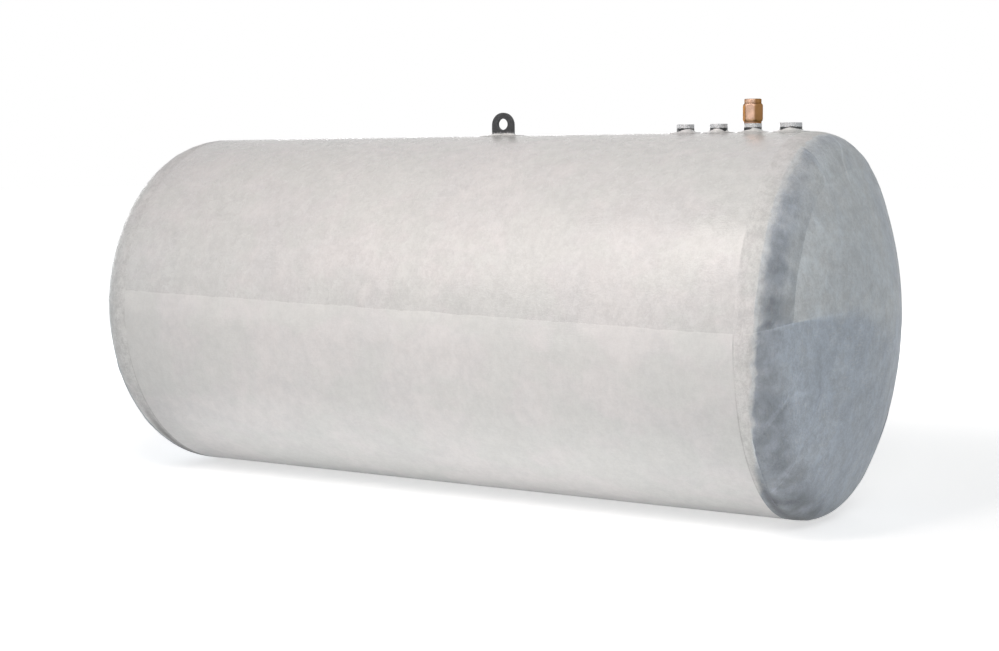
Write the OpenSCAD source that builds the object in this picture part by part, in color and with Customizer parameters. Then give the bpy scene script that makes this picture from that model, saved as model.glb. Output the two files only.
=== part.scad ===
// Heating oil tank: a horizontal steel cylinder with dished ends, coated with glass-fibre
// laminate, that lies on its belly. Sockets and a lifting lug stand in line along its top.
// Origin: on the floor, under the middle of the tank. +X runs along the tank to the socket
// end, +Y to the back, +Z up.

/* [Vessel] */
// Outside diameter of the steel vessel
vessel_d = 1200; // [1000:10:1500]
// Length of the cylinder between the tangent lines of the two dished ends
tangent_length = 2300; // [2200:10:3200]
// Thickness of the shell plate and of the dished ends
plate_t = 5; // [4:0.5:8]
// Crown radius of a dished end
crown_r = 1200; // [1000:10:1500]
// Knuckle radius of a dished end
knuckle_r = 120; // [80:5:160]
// Length of the straight flange on a dished end
flange_l = 30; // [20:5:40]

/* [Laminate] */
// Thickness of the laminate sheets
sheet_t = 3; // [2:0.5:5]
// Width by which the lower sheet laps over the upper one
lap_w = 70; // [40:5:100]
// Height of the seam between the sheets above the tank's axis, at mid length
seam_rise = 59; // [20:1:90]
// Angle by which the seam drops towards the socket end
seam_drop = 1.2; // [0:0.1:2]
// Length of cylinder that the laminate of a dished end reaches back over
cap_reach = 19; // [10:1:25]
// Thickness of the laminate strips that wrap the knuckle of a dished end
strip_t = 1.5; // [1:0.5:3]
// Gap between neighbouring strips
strip_gap = 0.4; // [0.2:0.1:1]

/* [Sockets] */
// Distance from the right tangent line back to the large socket
socket_inset = 73; // [68:1:200]
// Distance between the three small sockets
socket_pitch = 114; // [112:1:120]
// Distance from the third socket to the large one
large_pitch = 125; // [120:1:130]
// Outside diameter of a small socket
small_d = 56; // [50:0.5:60]
// Thread core diameter of a small socket
small_core_d = 44.8; // [38:0.1:48]
// Outside diameter of the large socket
large_d = 69; // [66:0.5:76]
// Thread core diameter of the large socket
large_core_d = 56.6; // [50:0.1:60]
// Height of a socket's rim above the steel vessel
socket_h = 30; // [26:1:50]
// Width of the chamfer at the mouth of a socket
mouth_chamfer = 1.6; // [0.5:0.1:2]
// Width of the chamfer inside the foot of a socket
foot_chamfer = 2; // [1:0.1:3]
// Width of the chamfer round the rim of a socket
rim_chamfer = 0.8; // [0.3:0.1:1.2]
// Width of the ledge that the shell leaves inside a socket
shell_ledge = 2.4; // [1:0.1:4]
// Reach of a laminate collar beyond its socket, over the tank
collar_reach = 22; // [12:1:24]
// Height that a laminate collar climbs up its socket above the coat
collar_h = 5.5; // [3:0.5:10]
// Thickness of a laminate collar at its upper edge
collar_t = 2.5; // [1:0.5:4]
// Thickness of a laminate collar at its outer edge
collar_edge = 1.2; // [0.8:0.1:2]

/* [Lifting lug] */
// Place of the lug along the tank
lug_x = 52; // [-200:1:300]
// Width of the lug along the tank
lug_w = 84; // [70:1:110]
// Height of the lug above the steel vessel
lug_h = 81; // [70:1:110]
// Thickness of the lug plate
lug_t = 12; // [8:1:16]
// Diameter of the hole in the lug
lug_hole_d = 38; // [28:1:42]
// Height of the hole's centre above the steel vessel
lug_hole_h = 42; // [40:1:55]
// Reach of the laminate patch round the lug
patch_reach = 38; // [20:1:60]
// Thickness of the laminate patch
patch_t = 2; // [1:0.5:3]
// Height that the patch climbs up the lug above the coat
patch_h = 6; // [3:0.5:10]

/* [Riser fitting] */
// Length of the fitting's thread inside its socket
thread_l = 20; // [12:1:24]
// Step from the socket's rim in to the fitting's shoulder
shoulder_step = 1; // [0.5:0.5:2]
// Height of the shoulder
shoulder_h = 5; // [3:0.5:8]
// Width across the flats of the nut
nut_af = 57; // [54:1:64]
// Height of the nut
nut_h = 56; // [40:1:64]
// Height of the bevel at either end of the nut
nut_bevel = 9; // [4:0.5:12]
// Angle of the nut about its axis
nut_turn = 4.5; // [0:0.5:60]
// Diameter of the clamp ring on the nut
ring_d = 53; // [46:1:56]
// Height of the clamp ring
ring_h = 15; // [8:0.5:20]
// Bore of the fitting for its pipe
pipe_bore_d = 34; // [25:0.5:38]

/* [Fit] */
// Clearance of a laminate cut-out round steel
cut_clear = 0.2; // [0.1:0.1:0.5]
// Clearance of the fitting in its socket, on the diameter
thread_clear = 0.2; // [0.1:0.1:0.5]

/* [Hidden] */
$fn = 96;
vessel_r = vessel_d / 2;
coat_r = vessel_r + sheet_t;
axis_z = coat_r;
half_l = tangent_length / 2;
course_l = half_l - flange_l;
top_z = axis_z + vessel_r;
coat_top_z = axis_z + coat_r;
far = 2 * tangent_length;

// Angle from the tank's axis to the line where the crown meets the knuckle
crown_angle = asin((vessel_r - knuckle_r) / (crown_r - knuckle_r));
// Distance from the tangent line back to the centre of the crown
crown_back = (crown_r - knuckle_r) * cos(crown_angle);
// Height of the steel dish outside the tangent line
dish_h = crown_r - crown_back;

// Sockets: their places along the tank, the three small ones and then the large one
large_x = half_l - socket_inset;
socket_places = [
    large_x - large_pitch - 2 * socket_pitch,
    large_x - large_pitch - socket_pitch,
    large_x - large_pitch,
    large_x
];
riser_x = socket_places[2];
rim_z = top_z + socket_h;

// Strips of laminate round the knuckle, as seen from a dished end. Each has its start and
// end angle from the top towards the front, the distance from the tangent line to its
// outer edge and its depth inwards from the side of the vessel.
strip_specs = [
    [-26, 9, 48, 120],
    [9, 26, 48, 120],
    [26, 83, 48, 102],
    [83, 104, 26, 168],
    [104, 126, 26, 144],
    [126, 157, 26, 198],
    [157, 203, 26, 144]
];
// Angle of the gap between neighbouring strips
gap_angle = strip_gap / vessel_r * 180 / PI;

function socket_d(i) = i == 3 ? large_d : small_d;
function core_d(i) = i == 3 ? large_core_d : small_core_d;

// ---- helpers --------------------------------------------------------------------------

// Lays a shape that was drawn about +Z along the tank, with +Z turned to +X and +X to +Z
module along_tank() {
    translate([0, 0, axis_z])
        rotate([0, 90, 0])
            rotate([0, 0, 180])
                children();
}

// Puts a child that was drawn for the right end on either end
module at_end(side) {
    if (side == "right") children();
    else mirror([1, 0, 0]) children();
}

// A pipe along the tank from x0 to x1
module pipe_x(inner_r, outer_r, x0, x1) {
    along_tank()
        translate([0, 0, x0])
            difference() {
                cylinder(h = x1 - x0, r = outer_r, $fn = 720);
                translate([0, 0, -1]) cylinder(h = x1 - x0 + 2, r = inner_r, $fn = 720);
            }
}

// A solid rod in the place of the steel vessel, grown by an amount
module vessel_rod(grow = 0) {
    along_tank()
        translate([0, 0, -half_l])
            cylinder(h = tangent_length, r = vessel_r + grow, $fn = 720);
}

// Half outline of a dished end grown by an amount: radius along x, axial distance from the
// tangent line along y. The knuckle is an arc about (vessel_r - knuckle_r, 0) and the crown
// an arc about (0, -crown_back); they share the ray through both centres.
module dish_outline(grow) {
    ray = 2 * crown_r;
    ray_x = ray * sin(crown_angle);
    ray_y = ray * cos(crown_angle) - crown_back;
    knuckle_x = vessel_r - knuckle_r;
    intersection() {
        translate([0, -crown_back]) circle(r = crown_r + grow, $fn = 360);
        polygon([[0, 0], [knuckle_x, 0], [ray_x, ray_y], [0, ray_y]]);
    }
    intersection() {
        translate([knuckle_x, 0]) circle(r = knuckle_r + grow, $fn = 180);
        polygon([[knuckle_x, 0], [far, 0], [far, ray_y], [ray_x, ray_y]]);
    }
}

// Wall of a dished end between two offsets from its steel outside, with a straight part
module dish_wall(inner, outer, straight) {
    difference() {
        dish_outline(outer);
        dish_outline(inner);
    }
    if (straight > 0) translate([vessel_r + inner, -straight]) square([outer - inner, straight]);
}

// A dished wall on the right end of the tank
module dish(inner, outer, straight) {
    along_tank()
        translate([0, 0, half_l])
            rotate_extrude($fn = 240) dish_wall(inner, outer, straight);
}

// ---- steel vessel ---------------------------------------------------------------------

module shell_course(x0, x1) {
    pipe_x(vessel_r - plate_t, vessel_r, x0, x1);
}

module shell_course_left() {
    color("dimgray") shell_course(-course_l, 0);
}

module shell_course_right() {
    color("dimgray")
        difference() {
            shell_course(0, course_l);
            for (i = [0 : 3])
                translate([socket_places[i], 0, axis_z])
                    cylinder(h = vessel_r + 1, d = core_d(i) - 2 * shell_ledge);
        }
}

module head(side) {
    color("dimgray") at_end(side) dish(-plate_t, 0, flange_l);
}

// How far the shell falls away below its top line at a distance to the side
function fall(r, side) = r - sqrt(pow(r, 2) - pow(side, 2));

// Set-on socket: its foot is cut to the round of the shell, and its bore, which is the
// thread's core, is chamfered at both ends
module socket(i) {
    d = socket_d(i);
    core = core_d(i);
    mouth = min(mouth_chamfer, (d - core) / 4);
    foot = ceil(fall(vessel_r, d / 2) + foot_chamfer);
    color("silver")
        translate([socket_places[i], 0, 0])
            difference() {
                union() {
                    translate([0, 0, top_z - foot])
                        cylinder(h = socket_h + foot - rim_chamfer, d = d);
                    translate([0, 0, rim_z - rim_chamfer])
                        cylinder(h = rim_chamfer, d1 = d, d2 = d - 2 * rim_chamfer);
                }
                translate([-socket_places[i], 0, 0]) vessel_rod();
                translate([0, 0, top_z - foot - 1]) cylinder(h = socket_h + foot + 2, d = core);
                translate([0, 0, rim_z - mouth])
                    cylinder(h = 2 * mouth, d1 = core, d2 = core + 4 * mouth);
                translate([0, 0, top_z - foot_chamfer])
                    cylinder(h = 2 * foot_chamfer, d1 = core + 4 * foot_chamfer, d2 = core);
            }
}

// Lug plate with a round head over straight sides and a hole for the shackle
module lug_outline() {
    head_r = lug_w / 2;
    difference() {
        union() {
            translate([0, lug_h - head_r]) circle(r = head_r);
            translate([-head_r, -1]) square([lug_w, lug_h - head_r + 1]);
        }
        translate([0, lug_hole_h]) circle(d = lug_hole_d);
    }
}

module lifting_lug() {
    color("#26282b")
        difference() {
            translate([lug_x, lug_t / 2, top_z])
                rotate([90, 0, 0])
                    linear_extrude(lug_t) lug_outline();
            vessel_rod();
        }
}

// ---- laminate coat --------------------------------------------------------------------

// Everything below a plane that lies a distance above the tank's axis and drops with the seam
module below_seam(rise) {
    translate([0, 0, axis_z + rise])
        rotate([0, seam_drop, 0])
            translate([-far / 2, -far / 2, -far]) cube([far, far, far]);
}

// Upright holes through the coat for the sockets and the slot for the lug
module coat_openings() {
    for (i = [0 : 3])
        translate([socket_places[i], 0, axis_z])
            cylinder(h = coat_r + 20, d = socket_d(i) + 2 * cut_clear);
    translate([lug_x - lug_w / 2 - cut_clear, -lug_t / 2 - cut_clear, axis_z])
        cube([lug_w + 2 * cut_clear, lug_t + 2 * cut_clear, coat_r + 20]);
}

module sheet_upper() {
    color("#cfd3d2")
        difference() {
            pipe_x(vessel_r, coat_r, -half_l + cap_reach, half_l - cap_reach);
            below_seam(seam_rise - lap_w);
            coat_openings();
        }
}

// The lower sheet lies on the steel, steps out by its own thickness and laps the upper one
module sheet_lower() {
    step_w = 4 * sheet_t;
    color("#d8dbdb") {
        intersection() {
            pipe_x(vessel_r, coat_r, -half_l + cap_reach, half_l - cap_reach);
            below_seam(seam_rise - lap_w);
        }
        difference() {
            intersection() {
                pipe_x(coat_r, coat_r + sheet_t, -half_l + cap_reach, half_l - cap_reach);
                below_seam(seam_rise);
            }
            below_seam(seam_rise - lap_w - step_w);
        }
    }
}

module cap(side) {
    color("#b9c0c4") at_end(side) dish(0, sheet_t, cap_reach);
}

// A strip round the knuckle of the right end. It starts where the knuckle has fallen away
// from the cylinder, so that it stays within the coat's own round.
module knuckle_strip(spec) {
    inner_r = vessel_r - spec[3];
    color("#c3c9cc")
        along_tank()
            translate([0, 0, half_l])
                rotate([0, 0, spec[0] + gap_angle / 2])
                    rotate_extrude(angle = spec[1] - spec[0] - gap_angle, $fn = 240)
                        intersection() {
                            dish_wall(sheet_t, sheet_t + strip_t, 0);
                            translate([inner_r, spec[2]]) square(vessel_r);
                        }
}

module strip(side, half, i) {
    at_end(side) {
        if (half == "back") mirror([0, 1, 0]) knuckle_strip(strip_specs[i]);
        else knuckle_strip(strip_specs[i]);
    }
}

// Laminate collar that climbs from the coat up the foot of a socket
module collar(i) {
    d = socket_d(i);
    foot_d = d + 2 * collar_reach;
    head_d = d + 2 * collar_t;
    sag = fall(coat_r, foot_d / 2);
    color("#c9cdcb")
        difference() {
            translate([socket_places[i], 0, coat_top_z - sag]) {
                translate([0, 0, -collar_edge])
                    cylinder(h = sag + 2 * collar_edge, d = foot_d);
                translate([0, 0, collar_edge])
                    cylinder(h = sag + collar_h - collar_edge, d1 = foot_d, d2 = head_d);
            }
            translate([socket_places[i], 0, axis_z])
                cylinder(h = coat_r + 2 * collar_h, d = d + 2 * cut_clear);
            vessel_rod(sheet_t);
        }
}

// Laminate patch laid over the coat round the lug, with a rim that climbs the plate
module lug_patch() {
    rim_t = 3 * patch_t;
    slot_w = lug_w + 2 * cut_clear;
    slot_t = lug_t + 2 * cut_clear;
    color("#c9cdcb")
        difference() {
            union() {
                intersection() {
                    pipe_x(coat_r, coat_r + patch_t, lug_x - lug_w, lug_x + lug_w);
                    translate([lug_x, 0, axis_z])
                        linear_extrude(2 * coat_r)
                            rounded(lug_w + 2 * patch_reach, lug_t + 2 * patch_reach, patch_reach);
                }
                translate([lug_x, 0, coat_top_z - sheet_t])
                    linear_extrude(sheet_t + patch_h)
                        rounded(slot_w + 2 * rim_t, slot_t + 2 * rim_t, rim_t);
            }
            translate([lug_x - slot_w / 2, -slot_t / 2, axis_z]) cube([slot_w, slot_t, 2 * coat_r]);
            vessel_rod(sheet_t);
        }
}

// Rectangle with round corners about its middle, made of straight pieces and circles
module rounded(length, width, corner_r) {
    square([length - 2 * corner_r, width], center = true);
    square([length, width - 2 * corner_r], center = true);
    for (sx = [-1, 1], sy = [-1, 1])
        translate([sx * (length / 2 - corner_r), sy * (width / 2 - corner_r)])
            circle(r = corner_r);
}

// ---- riser fitting on the third socket ------------------------------------------------

nut_z = rim_z + shoulder_h;
ring_z = nut_z + nut_h;
shoulder_d = small_d - 2 * shoulder_step;

module riser_body() {
    color("#b5854f")
        translate([riser_x, 0, 0])
            difference() {
                union() {
                    translate([0, 0, rim_z - thread_l])
                        cylinder(h = thread_l + shoulder_h, d = small_core_d - thread_clear);
                    translate([0, 0, rim_z]) cylinder(h = shoulder_h, d = shoulder_d);
                }
                translate([0, 0, rim_z - thread_l - 1])
                    cylinder(h = thread_l + shoulder_h + 2, d = pipe_bore_d);
            }
}

// Hexagon nut whose corners are bevelled at both ends by a turned outline
module riser_nut() {
    corner_r = nut_af / 2 / cos(30);
    end_r = shoulder_d / 2;
    color("#c08f5a")
        translate([riser_x, 0, nut_z])
            difference() {
                intersection() {
                    rotate([0, 0, nut_turn]) cylinder(h = nut_h, r = corner_r, $fn = 6);
                    rotate_extrude()
                        polygon([
                            [0, 0], [end_r, 0], [corner_r + 0.1, nut_bevel],
                            [corner_r + 0.1, nut_h - nut_bevel], [end_r, nut_h], [0, nut_h]
                        ]);
                }
                translate([0, 0, -1]) cylinder(h = nut_h + 2, d = pipe_bore_d);
            }
}

module riser_ring() {
    edge = 1.5;
    color("#c79a6b")
        translate([riser_x, 0, ring_z])
            rotate_extrude()
                polygon([
                    [pipe_bore_d / 2, 0], [ring_d / 2, 0], [ring_d / 2, ring_h - edge],
                    [ring_d / 2 - edge, ring_h], [pipe_bore_d / 2 + edge, ring_h],
                    [pipe_bore_d / 2, ring_h - edge]
                ]);
}

// ---- nodes ----------------------------------------------------------------------------

shell_course_left();
shell_course_right();
head("left");  // head_left
head("right");  // head_right
socket(0);  // socket_1
socket(1);  // socket_2
socket(2);  // socket_3
socket(3);  // socket_4
lifting_lug();
sheet_upper();
sheet_lower();
cap("left");  // cap_left
cap("right");  // cap_right
collar(0);  // collar_1
collar(1);  // collar_2
collar(2);  // collar_3
collar(3);  // collar_4
lug_patch();
riser_body();
riser_nut();
riser_ring();
strip("left", "front", 0);  // strip_left_top
strip("left", "front", 1);  // strip_left_top_front
strip("left", "front", 2);  // strip_left_upper_front
strip("left", "front", 3);  // strip_left_middle_front
strip("left", "front", 4);  // strip_left_lower_front
strip("left", "front", 5);  // strip_left_foot_front
strip("left", "back", 2);  // strip_left_upper_back
strip("left", "back", 3);  // strip_left_middle_back
strip("left", "back", 4);  // strip_left_lower_back
strip("left", "back", 5);  // strip_left_foot_back
strip("left", "front", 6);  // strip_left_bottom
strip("right", "front", 0);  // strip_right_top
strip("right", "front", 1);  // strip_right_top_front
strip("right", "front", 2);  // strip_right_upper_front
strip("right", "front", 3);  // strip_right_middle_front
strip("right", "front", 4);  // strip_right_lower_front
strip("right", "front", 5);  // strip_right_foot_front
strip("right", "back", 2);  // strip_right_upper_back
strip("right", "back", 3);  // strip_right_middle_back
strip("right", "back", 4);  // strip_right_lower_back
strip("right", "back", 5);  // strip_right_foot_back
strip("right", "front", 6);  // strip_right_bottom
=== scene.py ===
import math

import bpy
import numpy as np
from mathutils import Matrix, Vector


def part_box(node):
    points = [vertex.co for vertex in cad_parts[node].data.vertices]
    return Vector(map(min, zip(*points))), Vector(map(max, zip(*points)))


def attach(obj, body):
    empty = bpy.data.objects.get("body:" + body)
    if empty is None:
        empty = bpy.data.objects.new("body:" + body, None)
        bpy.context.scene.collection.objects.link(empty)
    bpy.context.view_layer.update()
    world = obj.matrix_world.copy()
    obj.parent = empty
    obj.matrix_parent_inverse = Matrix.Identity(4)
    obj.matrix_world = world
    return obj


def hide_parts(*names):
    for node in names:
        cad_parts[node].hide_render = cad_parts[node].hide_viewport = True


bl_info = {
    "name": "Heating oil tank",
    "version": (1, 0, 0),
    "blender": (4, 5, 0),
    "location": "3D View > Sidebar > Oil tank",
    "description": "Laminate coat, sockets, riser fitting, lifting lug and studio of a heating oil tank",
    "category": "Object",
}

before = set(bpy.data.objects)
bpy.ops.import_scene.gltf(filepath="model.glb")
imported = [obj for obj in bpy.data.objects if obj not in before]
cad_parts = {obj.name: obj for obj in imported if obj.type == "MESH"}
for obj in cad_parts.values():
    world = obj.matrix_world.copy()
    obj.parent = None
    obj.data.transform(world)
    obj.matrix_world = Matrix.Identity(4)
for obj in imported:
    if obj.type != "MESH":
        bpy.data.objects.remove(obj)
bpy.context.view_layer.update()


def span(node):
    """Lowest and highest corner of a node of the frame, as arrays."""
    low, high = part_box(node)
    return np.array(low), np.array(high)


def post(node):
    """Where an upright piece stands along the tank, half its width, and the heights of its foot and
    its top."""
    low, high = span(node)
    return (low[0] + high[0]) / 2, (high[0] - low[0]) / 2, low[2], high[2]


# Measures of the frame that the surfaces follow: the radius and the axis of the vessel, half the
# length of its cylinder's coat, the radius over that coat, its thickness, that of the lower
# sheet's lap, and the heights of the vessel's top and of its coat's top
VESSEL_LOW, VESSEL_HIGH = span("shell_course_left")
VESSEL_R = float(VESSEL_HIGH[1])
AXIS_Z = float(VESSEL_LOW[2] + VESSEL_HIGH[2]) / 2
SHEET_END = float(span("sheet_upper")[1][0])
COAT_R = float(span("sheet_upper")[1][2]) - AXIS_Z
COAT_T = COAT_R - VESSEL_R
LAP_T = float(span("sheet_lower")[1][1]) - COAT_R
VESSEL_TOP = AXIS_Z + VESSEL_R
COAT_TOP = AXIS_Z + COAT_R
# The sockets from the middle of the tank outwards, the last one larger, and the riser's
SOCKETS = (1, 2, 3, 4)
RISER_SOCKET = 3

# Depth of a sheet's inner face, just clear of the steel, and the gap that it keeps from a fitting
COAT_DEPTH = COAT_T - 0.0002
OPENING_GAP = 0.008
# How deep the under side of a collar lies in the coat, at the piece that it hugs and at its edge
SKIRT_IN = 0.0028
SKIRT_OUT = 0.0004
# How far a strip's outer edge reaches past the place given for it, and the share of a quarter
# turn of the knuckle at which its slanting edge crosses the angle given for it
STRIP_OVERHANG = 0.010
SLANT_PIVOT = 0.80
# How much further in the mats of the left end begin, with their painted shade
LEFT_SHIFT = 0.045
# Brightness of the collars and the lug's patch against the sheets
COLLAR_TONE = 0.985
# Shifts of the places on the unrolled sheets, so that each shows its own stretch of strands
LAY_LOWER = 7.3
LAY_END = 4.1
LAY_STRIP = 1.7


class TankSizes(bpy.types.PropertyGroup):
    """Sizes of the coat and of the fittings, in metres and radians."""

    tangent: bpy.props.FloatProperty(
        name="Tangent line", description="Distance from the middle of the tank to a tangent line",
        default=1.15, unit="LENGTH")
    crown_r: bpy.props.FloatProperty(
        name="Crown radius", description="Crown radius of the steel dished ends",
        default=1.2, unit="LENGTH")
    knuckle_r: bpy.props.FloatProperty(
        name="Knuckle radius", description="Knuckle radius of the steel dished ends",
        default=0.12, unit="LENGTH")
    seam_rise: bpy.props.FloatProperty(
        name="Seam height", description="Height of the lap's edge above the axis at mid length",
        default=0.059, unit="LENGTH")
    seam_drop: bpy.props.FloatProperty(
        name="Seam drop", description="Angle by which the seam drops towards the sockets",
        default=math.radians(1.2), unit="ROTATION")
    lap_w: bpy.props.FloatProperty(
        name="Lap width", description="Width by which the lower sheet covers the upper one",
        default=0.07, unit="LENGTH")
    lap_edge_t: bpy.props.FloatProperty(
        name="Lap edge", description="Thickness of the lower sheet at its thinned edge",
        default=0.0009, unit="LENGTH")
    cell: bpy.props.FloatProperty(
        name="Mesh pitch", description="Distance between neighbouring points of a laminate sheet",
        default=0.010, unit="LENGTH")
    swell: bpy.props.FloatProperty(
        name="Unevenness", description="Depth of the broad hollows of the hand-laid coat",
        default=0.0009, unit="LENGTH")
    strip_t: bpy.props.FloatProperty(
        name="Strip thickness", description="Thickness of the laminate strips on a knuckle",
        default=0.0011, unit="LENGTH")
    strip_lap: bpy.props.FloatProperty(
        name="Strip lap", description="Width by which a strip covers the one before it",
        default=0.014, unit="LENGTH")
    collar_reach: bpy.props.FloatProperty(
        name="Collar reach", description="Reach of a laminate collar over the coat",
        default=0.022, unit="LENGTH")
    collar_climb: bpy.props.FloatProperty(
        name="Collar climb", description="Height that a collar climbs up its socket",
        default=0.0050, unit="LENGTH")
    hump_rise: bpy.props.FloatProperty(
        name="Hump rise", description="How much higher a collar climbs where the resin was pushed up",
        default=0.0078, unit="LENGTH")
    hump_turn: bpy.props.FloatProperty(
        name="Hump direction", description="Side of the sockets where their collars climb higher",
        default=math.radians(-70), subtype="ANGLE")
    patch_reach: bpy.props.FloatProperty(
        name="Patch reach", description="Reach of the laminate patch round the lug",
        default=0.038, unit="LENGTH")
    thread_pitch: bpy.props.FloatProperty(
        name="Thread pitch", description="Pitch of the pipe threads, 11 to the inch",
        default=0.002309, unit="LENGTH")
    thread_depth: bpy.props.FloatProperty(
        name="Thread depth", description="Depth of the pipe threads below their crests",
        default=0.0012, unit="LENGTH")
    small_core_r: bpy.props.FloatProperty(
        name="Small bore", description="Core radius of the thread in the three small sockets",
        default=0.0224, unit="LENGTH")
    large_core_r: bpy.props.FloatProperty(
        name="Large bore", description="Core radius of the thread in the large socket",
        default=0.0283, unit="LENGTH")
    pipe_bore_r: bpy.props.FloatProperty(
        name="Riser bore", description="Radius of the bore through the riser's nut and ring",
        default=0.017, unit="LENGTH")
    lug_hole_r: bpy.props.FloatProperty(
        name="Lug hole", description="Radius of the hole in the lifting lug",
        default=0.019, unit="LENGTH")
    lug_hole_up: bpy.props.FloatProperty(
        name="Lug hole height", description="Height of the lug's hole above the top of the vessel",
        default=0.042, unit="LENGTH")
    nut_half_w: bpy.props.FloatProperty(
        name="Nut half width", description="Distance from the riser's axis to a flat of its nut",
        default=0.0285, unit="LENGTH")
    nut_bevel: bpy.props.FloatProperty(
        name="Nut bevel", description="Height of the rounded bevels at both faces of the nut",
        default=0.009, unit="LENGTH")
    nut_turn: bpy.props.FloatProperty(
        name="Nut turn", description="Angle that the nut was turned to when it was done up",
        default=math.radians(4.5), subtype="ANGLE")


class TankFinish(bpy.types.PropertyGroup):
    """Colours of the finishes, as linear values."""

    laminate: bpy.props.FloatVectorProperty(
        name="Laminate", description="Colour of the laminate on the cylinder", subtype="COLOR",
        default=(0.808, 0.800, 0.796), min=0, max=1)
    laminate_thin: bpy.props.FloatVectorProperty(
        name="Thin laminate", description="Colour of the laminate where its resin lies thin",
        subtype="COLOR", default=(0.738, 0.743, 0.744), min=0, max=1)
    laminate_green: bpy.props.FloatVectorProperty(
        name="Green laminate", description="Colour of the clouds where the resin looks green",
        subtype="COLOR", default=(0.738, 0.765, 0.745), min=0, max=1)
    # The end colours are cooler than the laminate's, partly the mats' own colour and partly painted cool
    # shade of ends that face away from the light
    ends: bpy.props.FloatVectorProperty(
        name="End laminate", description="Colour of the grey mat on the upper part of the ends",
        subtype="COLOR", default=(0.855, 0.912, 0.948), min=0, max=1)
    ends_thin: bpy.props.FloatVectorProperty(
        name="Thin end laminate", description="Colour of the end laminate where it lies thin",
        subtype="COLOR", default=(0.775, 0.805, 0.820), min=0, max=1)
    ends_blue: bpy.props.FloatVectorProperty(
        name="Blue end laminate", description="Colour of the blue mat on the lower part of the ends",
        subtype="COLOR", default=(0.676, 0.750, 0.842), min=0, max=1)
    zinc: bpy.props.FloatVectorProperty(
        name="Zinc", description="Colour of the bare upper part of a socket", subtype="COLOR",
        default=(0.80, 0.82, 0.84), min=0, max=1)
    paint: bpy.props.FloatVectorProperty(
        name="Black paint", description="Colour of the paint on the lug and the sockets' feet",
        subtype="COLOR", default=(0.028, 0.031, 0.034), min=0, max=1)
    brass: bpy.props.FloatVectorProperty(
        name="Brass", description="Colour of the riser fitting", subtype="COLOR",
        default=(0.54, 0.365, 0.275), min=0, max=1)
    primer: bpy.props.FloatVectorProperty(
        name="Primer", description="Colour of the steel vessel under its coat", subtype="COLOR",
        default=(0.19, 0.18, 0.17), min=0, max=1)


# ---- noise and steps that come out the same each time --------------------------------------


def lattice(ix, iy, iz, seed):
    """A fixed value in 0..1 for each lattice point: its whole numbers times large primes, mixed by
    shifts."""
    h = (ix * 374761393 + iy * 668265263 + iz * 1442695041 + seed * 974634777) & 0xFFFFFFFF
    h = ((h ^ (h >> 13)) * 1274126177) & 0xFFFFFFFF
    return (h ^ (h >> 16)) / 4294967295.0


def noise(points, scale, seed):
    """Smooth noise in -1..1: the values of the eight lattice corners round a point, each weighted
    by the quintic step of the point's place in its cell."""
    place = points * scale
    cell = np.floor(place).astype(np.int64)
    t = place - cell
    t = t * t * t * (t * (t * 6 - 15) + 10)
    total = 0.0
    for dx in (0, 1):
        for dy in (0, 1):
            for dz in (0, 1):
                weight = (
                    (t[..., 0] if dx else 1 - t[..., 0])
                    * (t[..., 1] if dy else 1 - t[..., 1])
                    * (t[..., 2] if dz else 1 - t[..., 2])
                )
                total = total + weight * lattice(
                    cell[..., 0] + dx, cell[..., 1] + dy, cell[..., 2] + dz, seed
                )
    return total * 2 - 1


def wander(values, scale, seed):
    """Noise in -1..1 along one row of values, two octaves deep."""
    line = np.stack([values, np.zeros_like(values), np.full_like(values, seed * 3.7)], -1)
    return (noise(line, scale, seed) * 2 + noise(line, scale * 3.1, seed + 1)) / 3


def step(values, low, high):
    """Smooth step from 0 at low to 1 at high: 3 t^2 - 2 t^3 of the share of the way."""
    t = np.clip((values - low) / (high - low), 0, 1)
    return t * t * (3 - 2 * t)


def whole_turn(cols):
    """Angles spread evenly over a whole turn."""
    return np.arange(cols) * 2 * math.pi / cols


def around(centre_x, radius, turn, height):
    """Points round an upright axis that stands at a place along the tank."""
    return np.stack([centre_x + radius * np.cos(turn), radius * np.sin(turn), height], -1)


# ---- meshes -----------------------------------------------------------------------------


def grid_cells(rows, cols, wrap_rows=False, wrap_cols=False):
    """Corner numbers of the cells of a grid counted row by row. A wrapped side joins its last line
    to its first."""
    r, c = np.meshgrid(
        np.arange(rows if wrap_rows else rows - 1),
        np.arange(cols if wrap_cols else cols - 1),
        indexing="ij",
    )
    r2, c2 = (r + 1) % rows, (c + 1) % cols
    return np.stack([r * cols + c, r2 * cols + c, r2 * cols + c2, r * cols + c2], -1).reshape(-1, 4)


def thin_wall(cells, count):
    """Faces of a closed thin wall: the cells, the same ones turned round on the inner points, which
    are numbered after the outer ones, and a face over each edge that only one cell has."""
    start, end = cells.ravel(), np.roll(cells, -1, axis=1).ravel()
    alone = ~np.isin(start * count + end, end * count + start) & (start != end)
    a, b = start[alone], end[alone]
    rim = np.stack([b, a, a + count, b + count], 1)
    return np.concatenate([cells, cells[:, ::-1] + count, rim])


def outward(points, faces):
    """The faces turned round together if the volume that they enclose comes out negative."""
    a, b, c, d = (points[faces[:, k]] for k in range(4))
    volume = (a * np.cross(b, c)).sum() + (a * np.cross(c, d)).sum()
    return faces if volume > 0 else faces[:, ::-1]


def twice(values):
    """Values for the outer points of a thin wall, repeated for its inner ones."""
    return np.concatenate([values.ravel(), values.ravel()])


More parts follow.
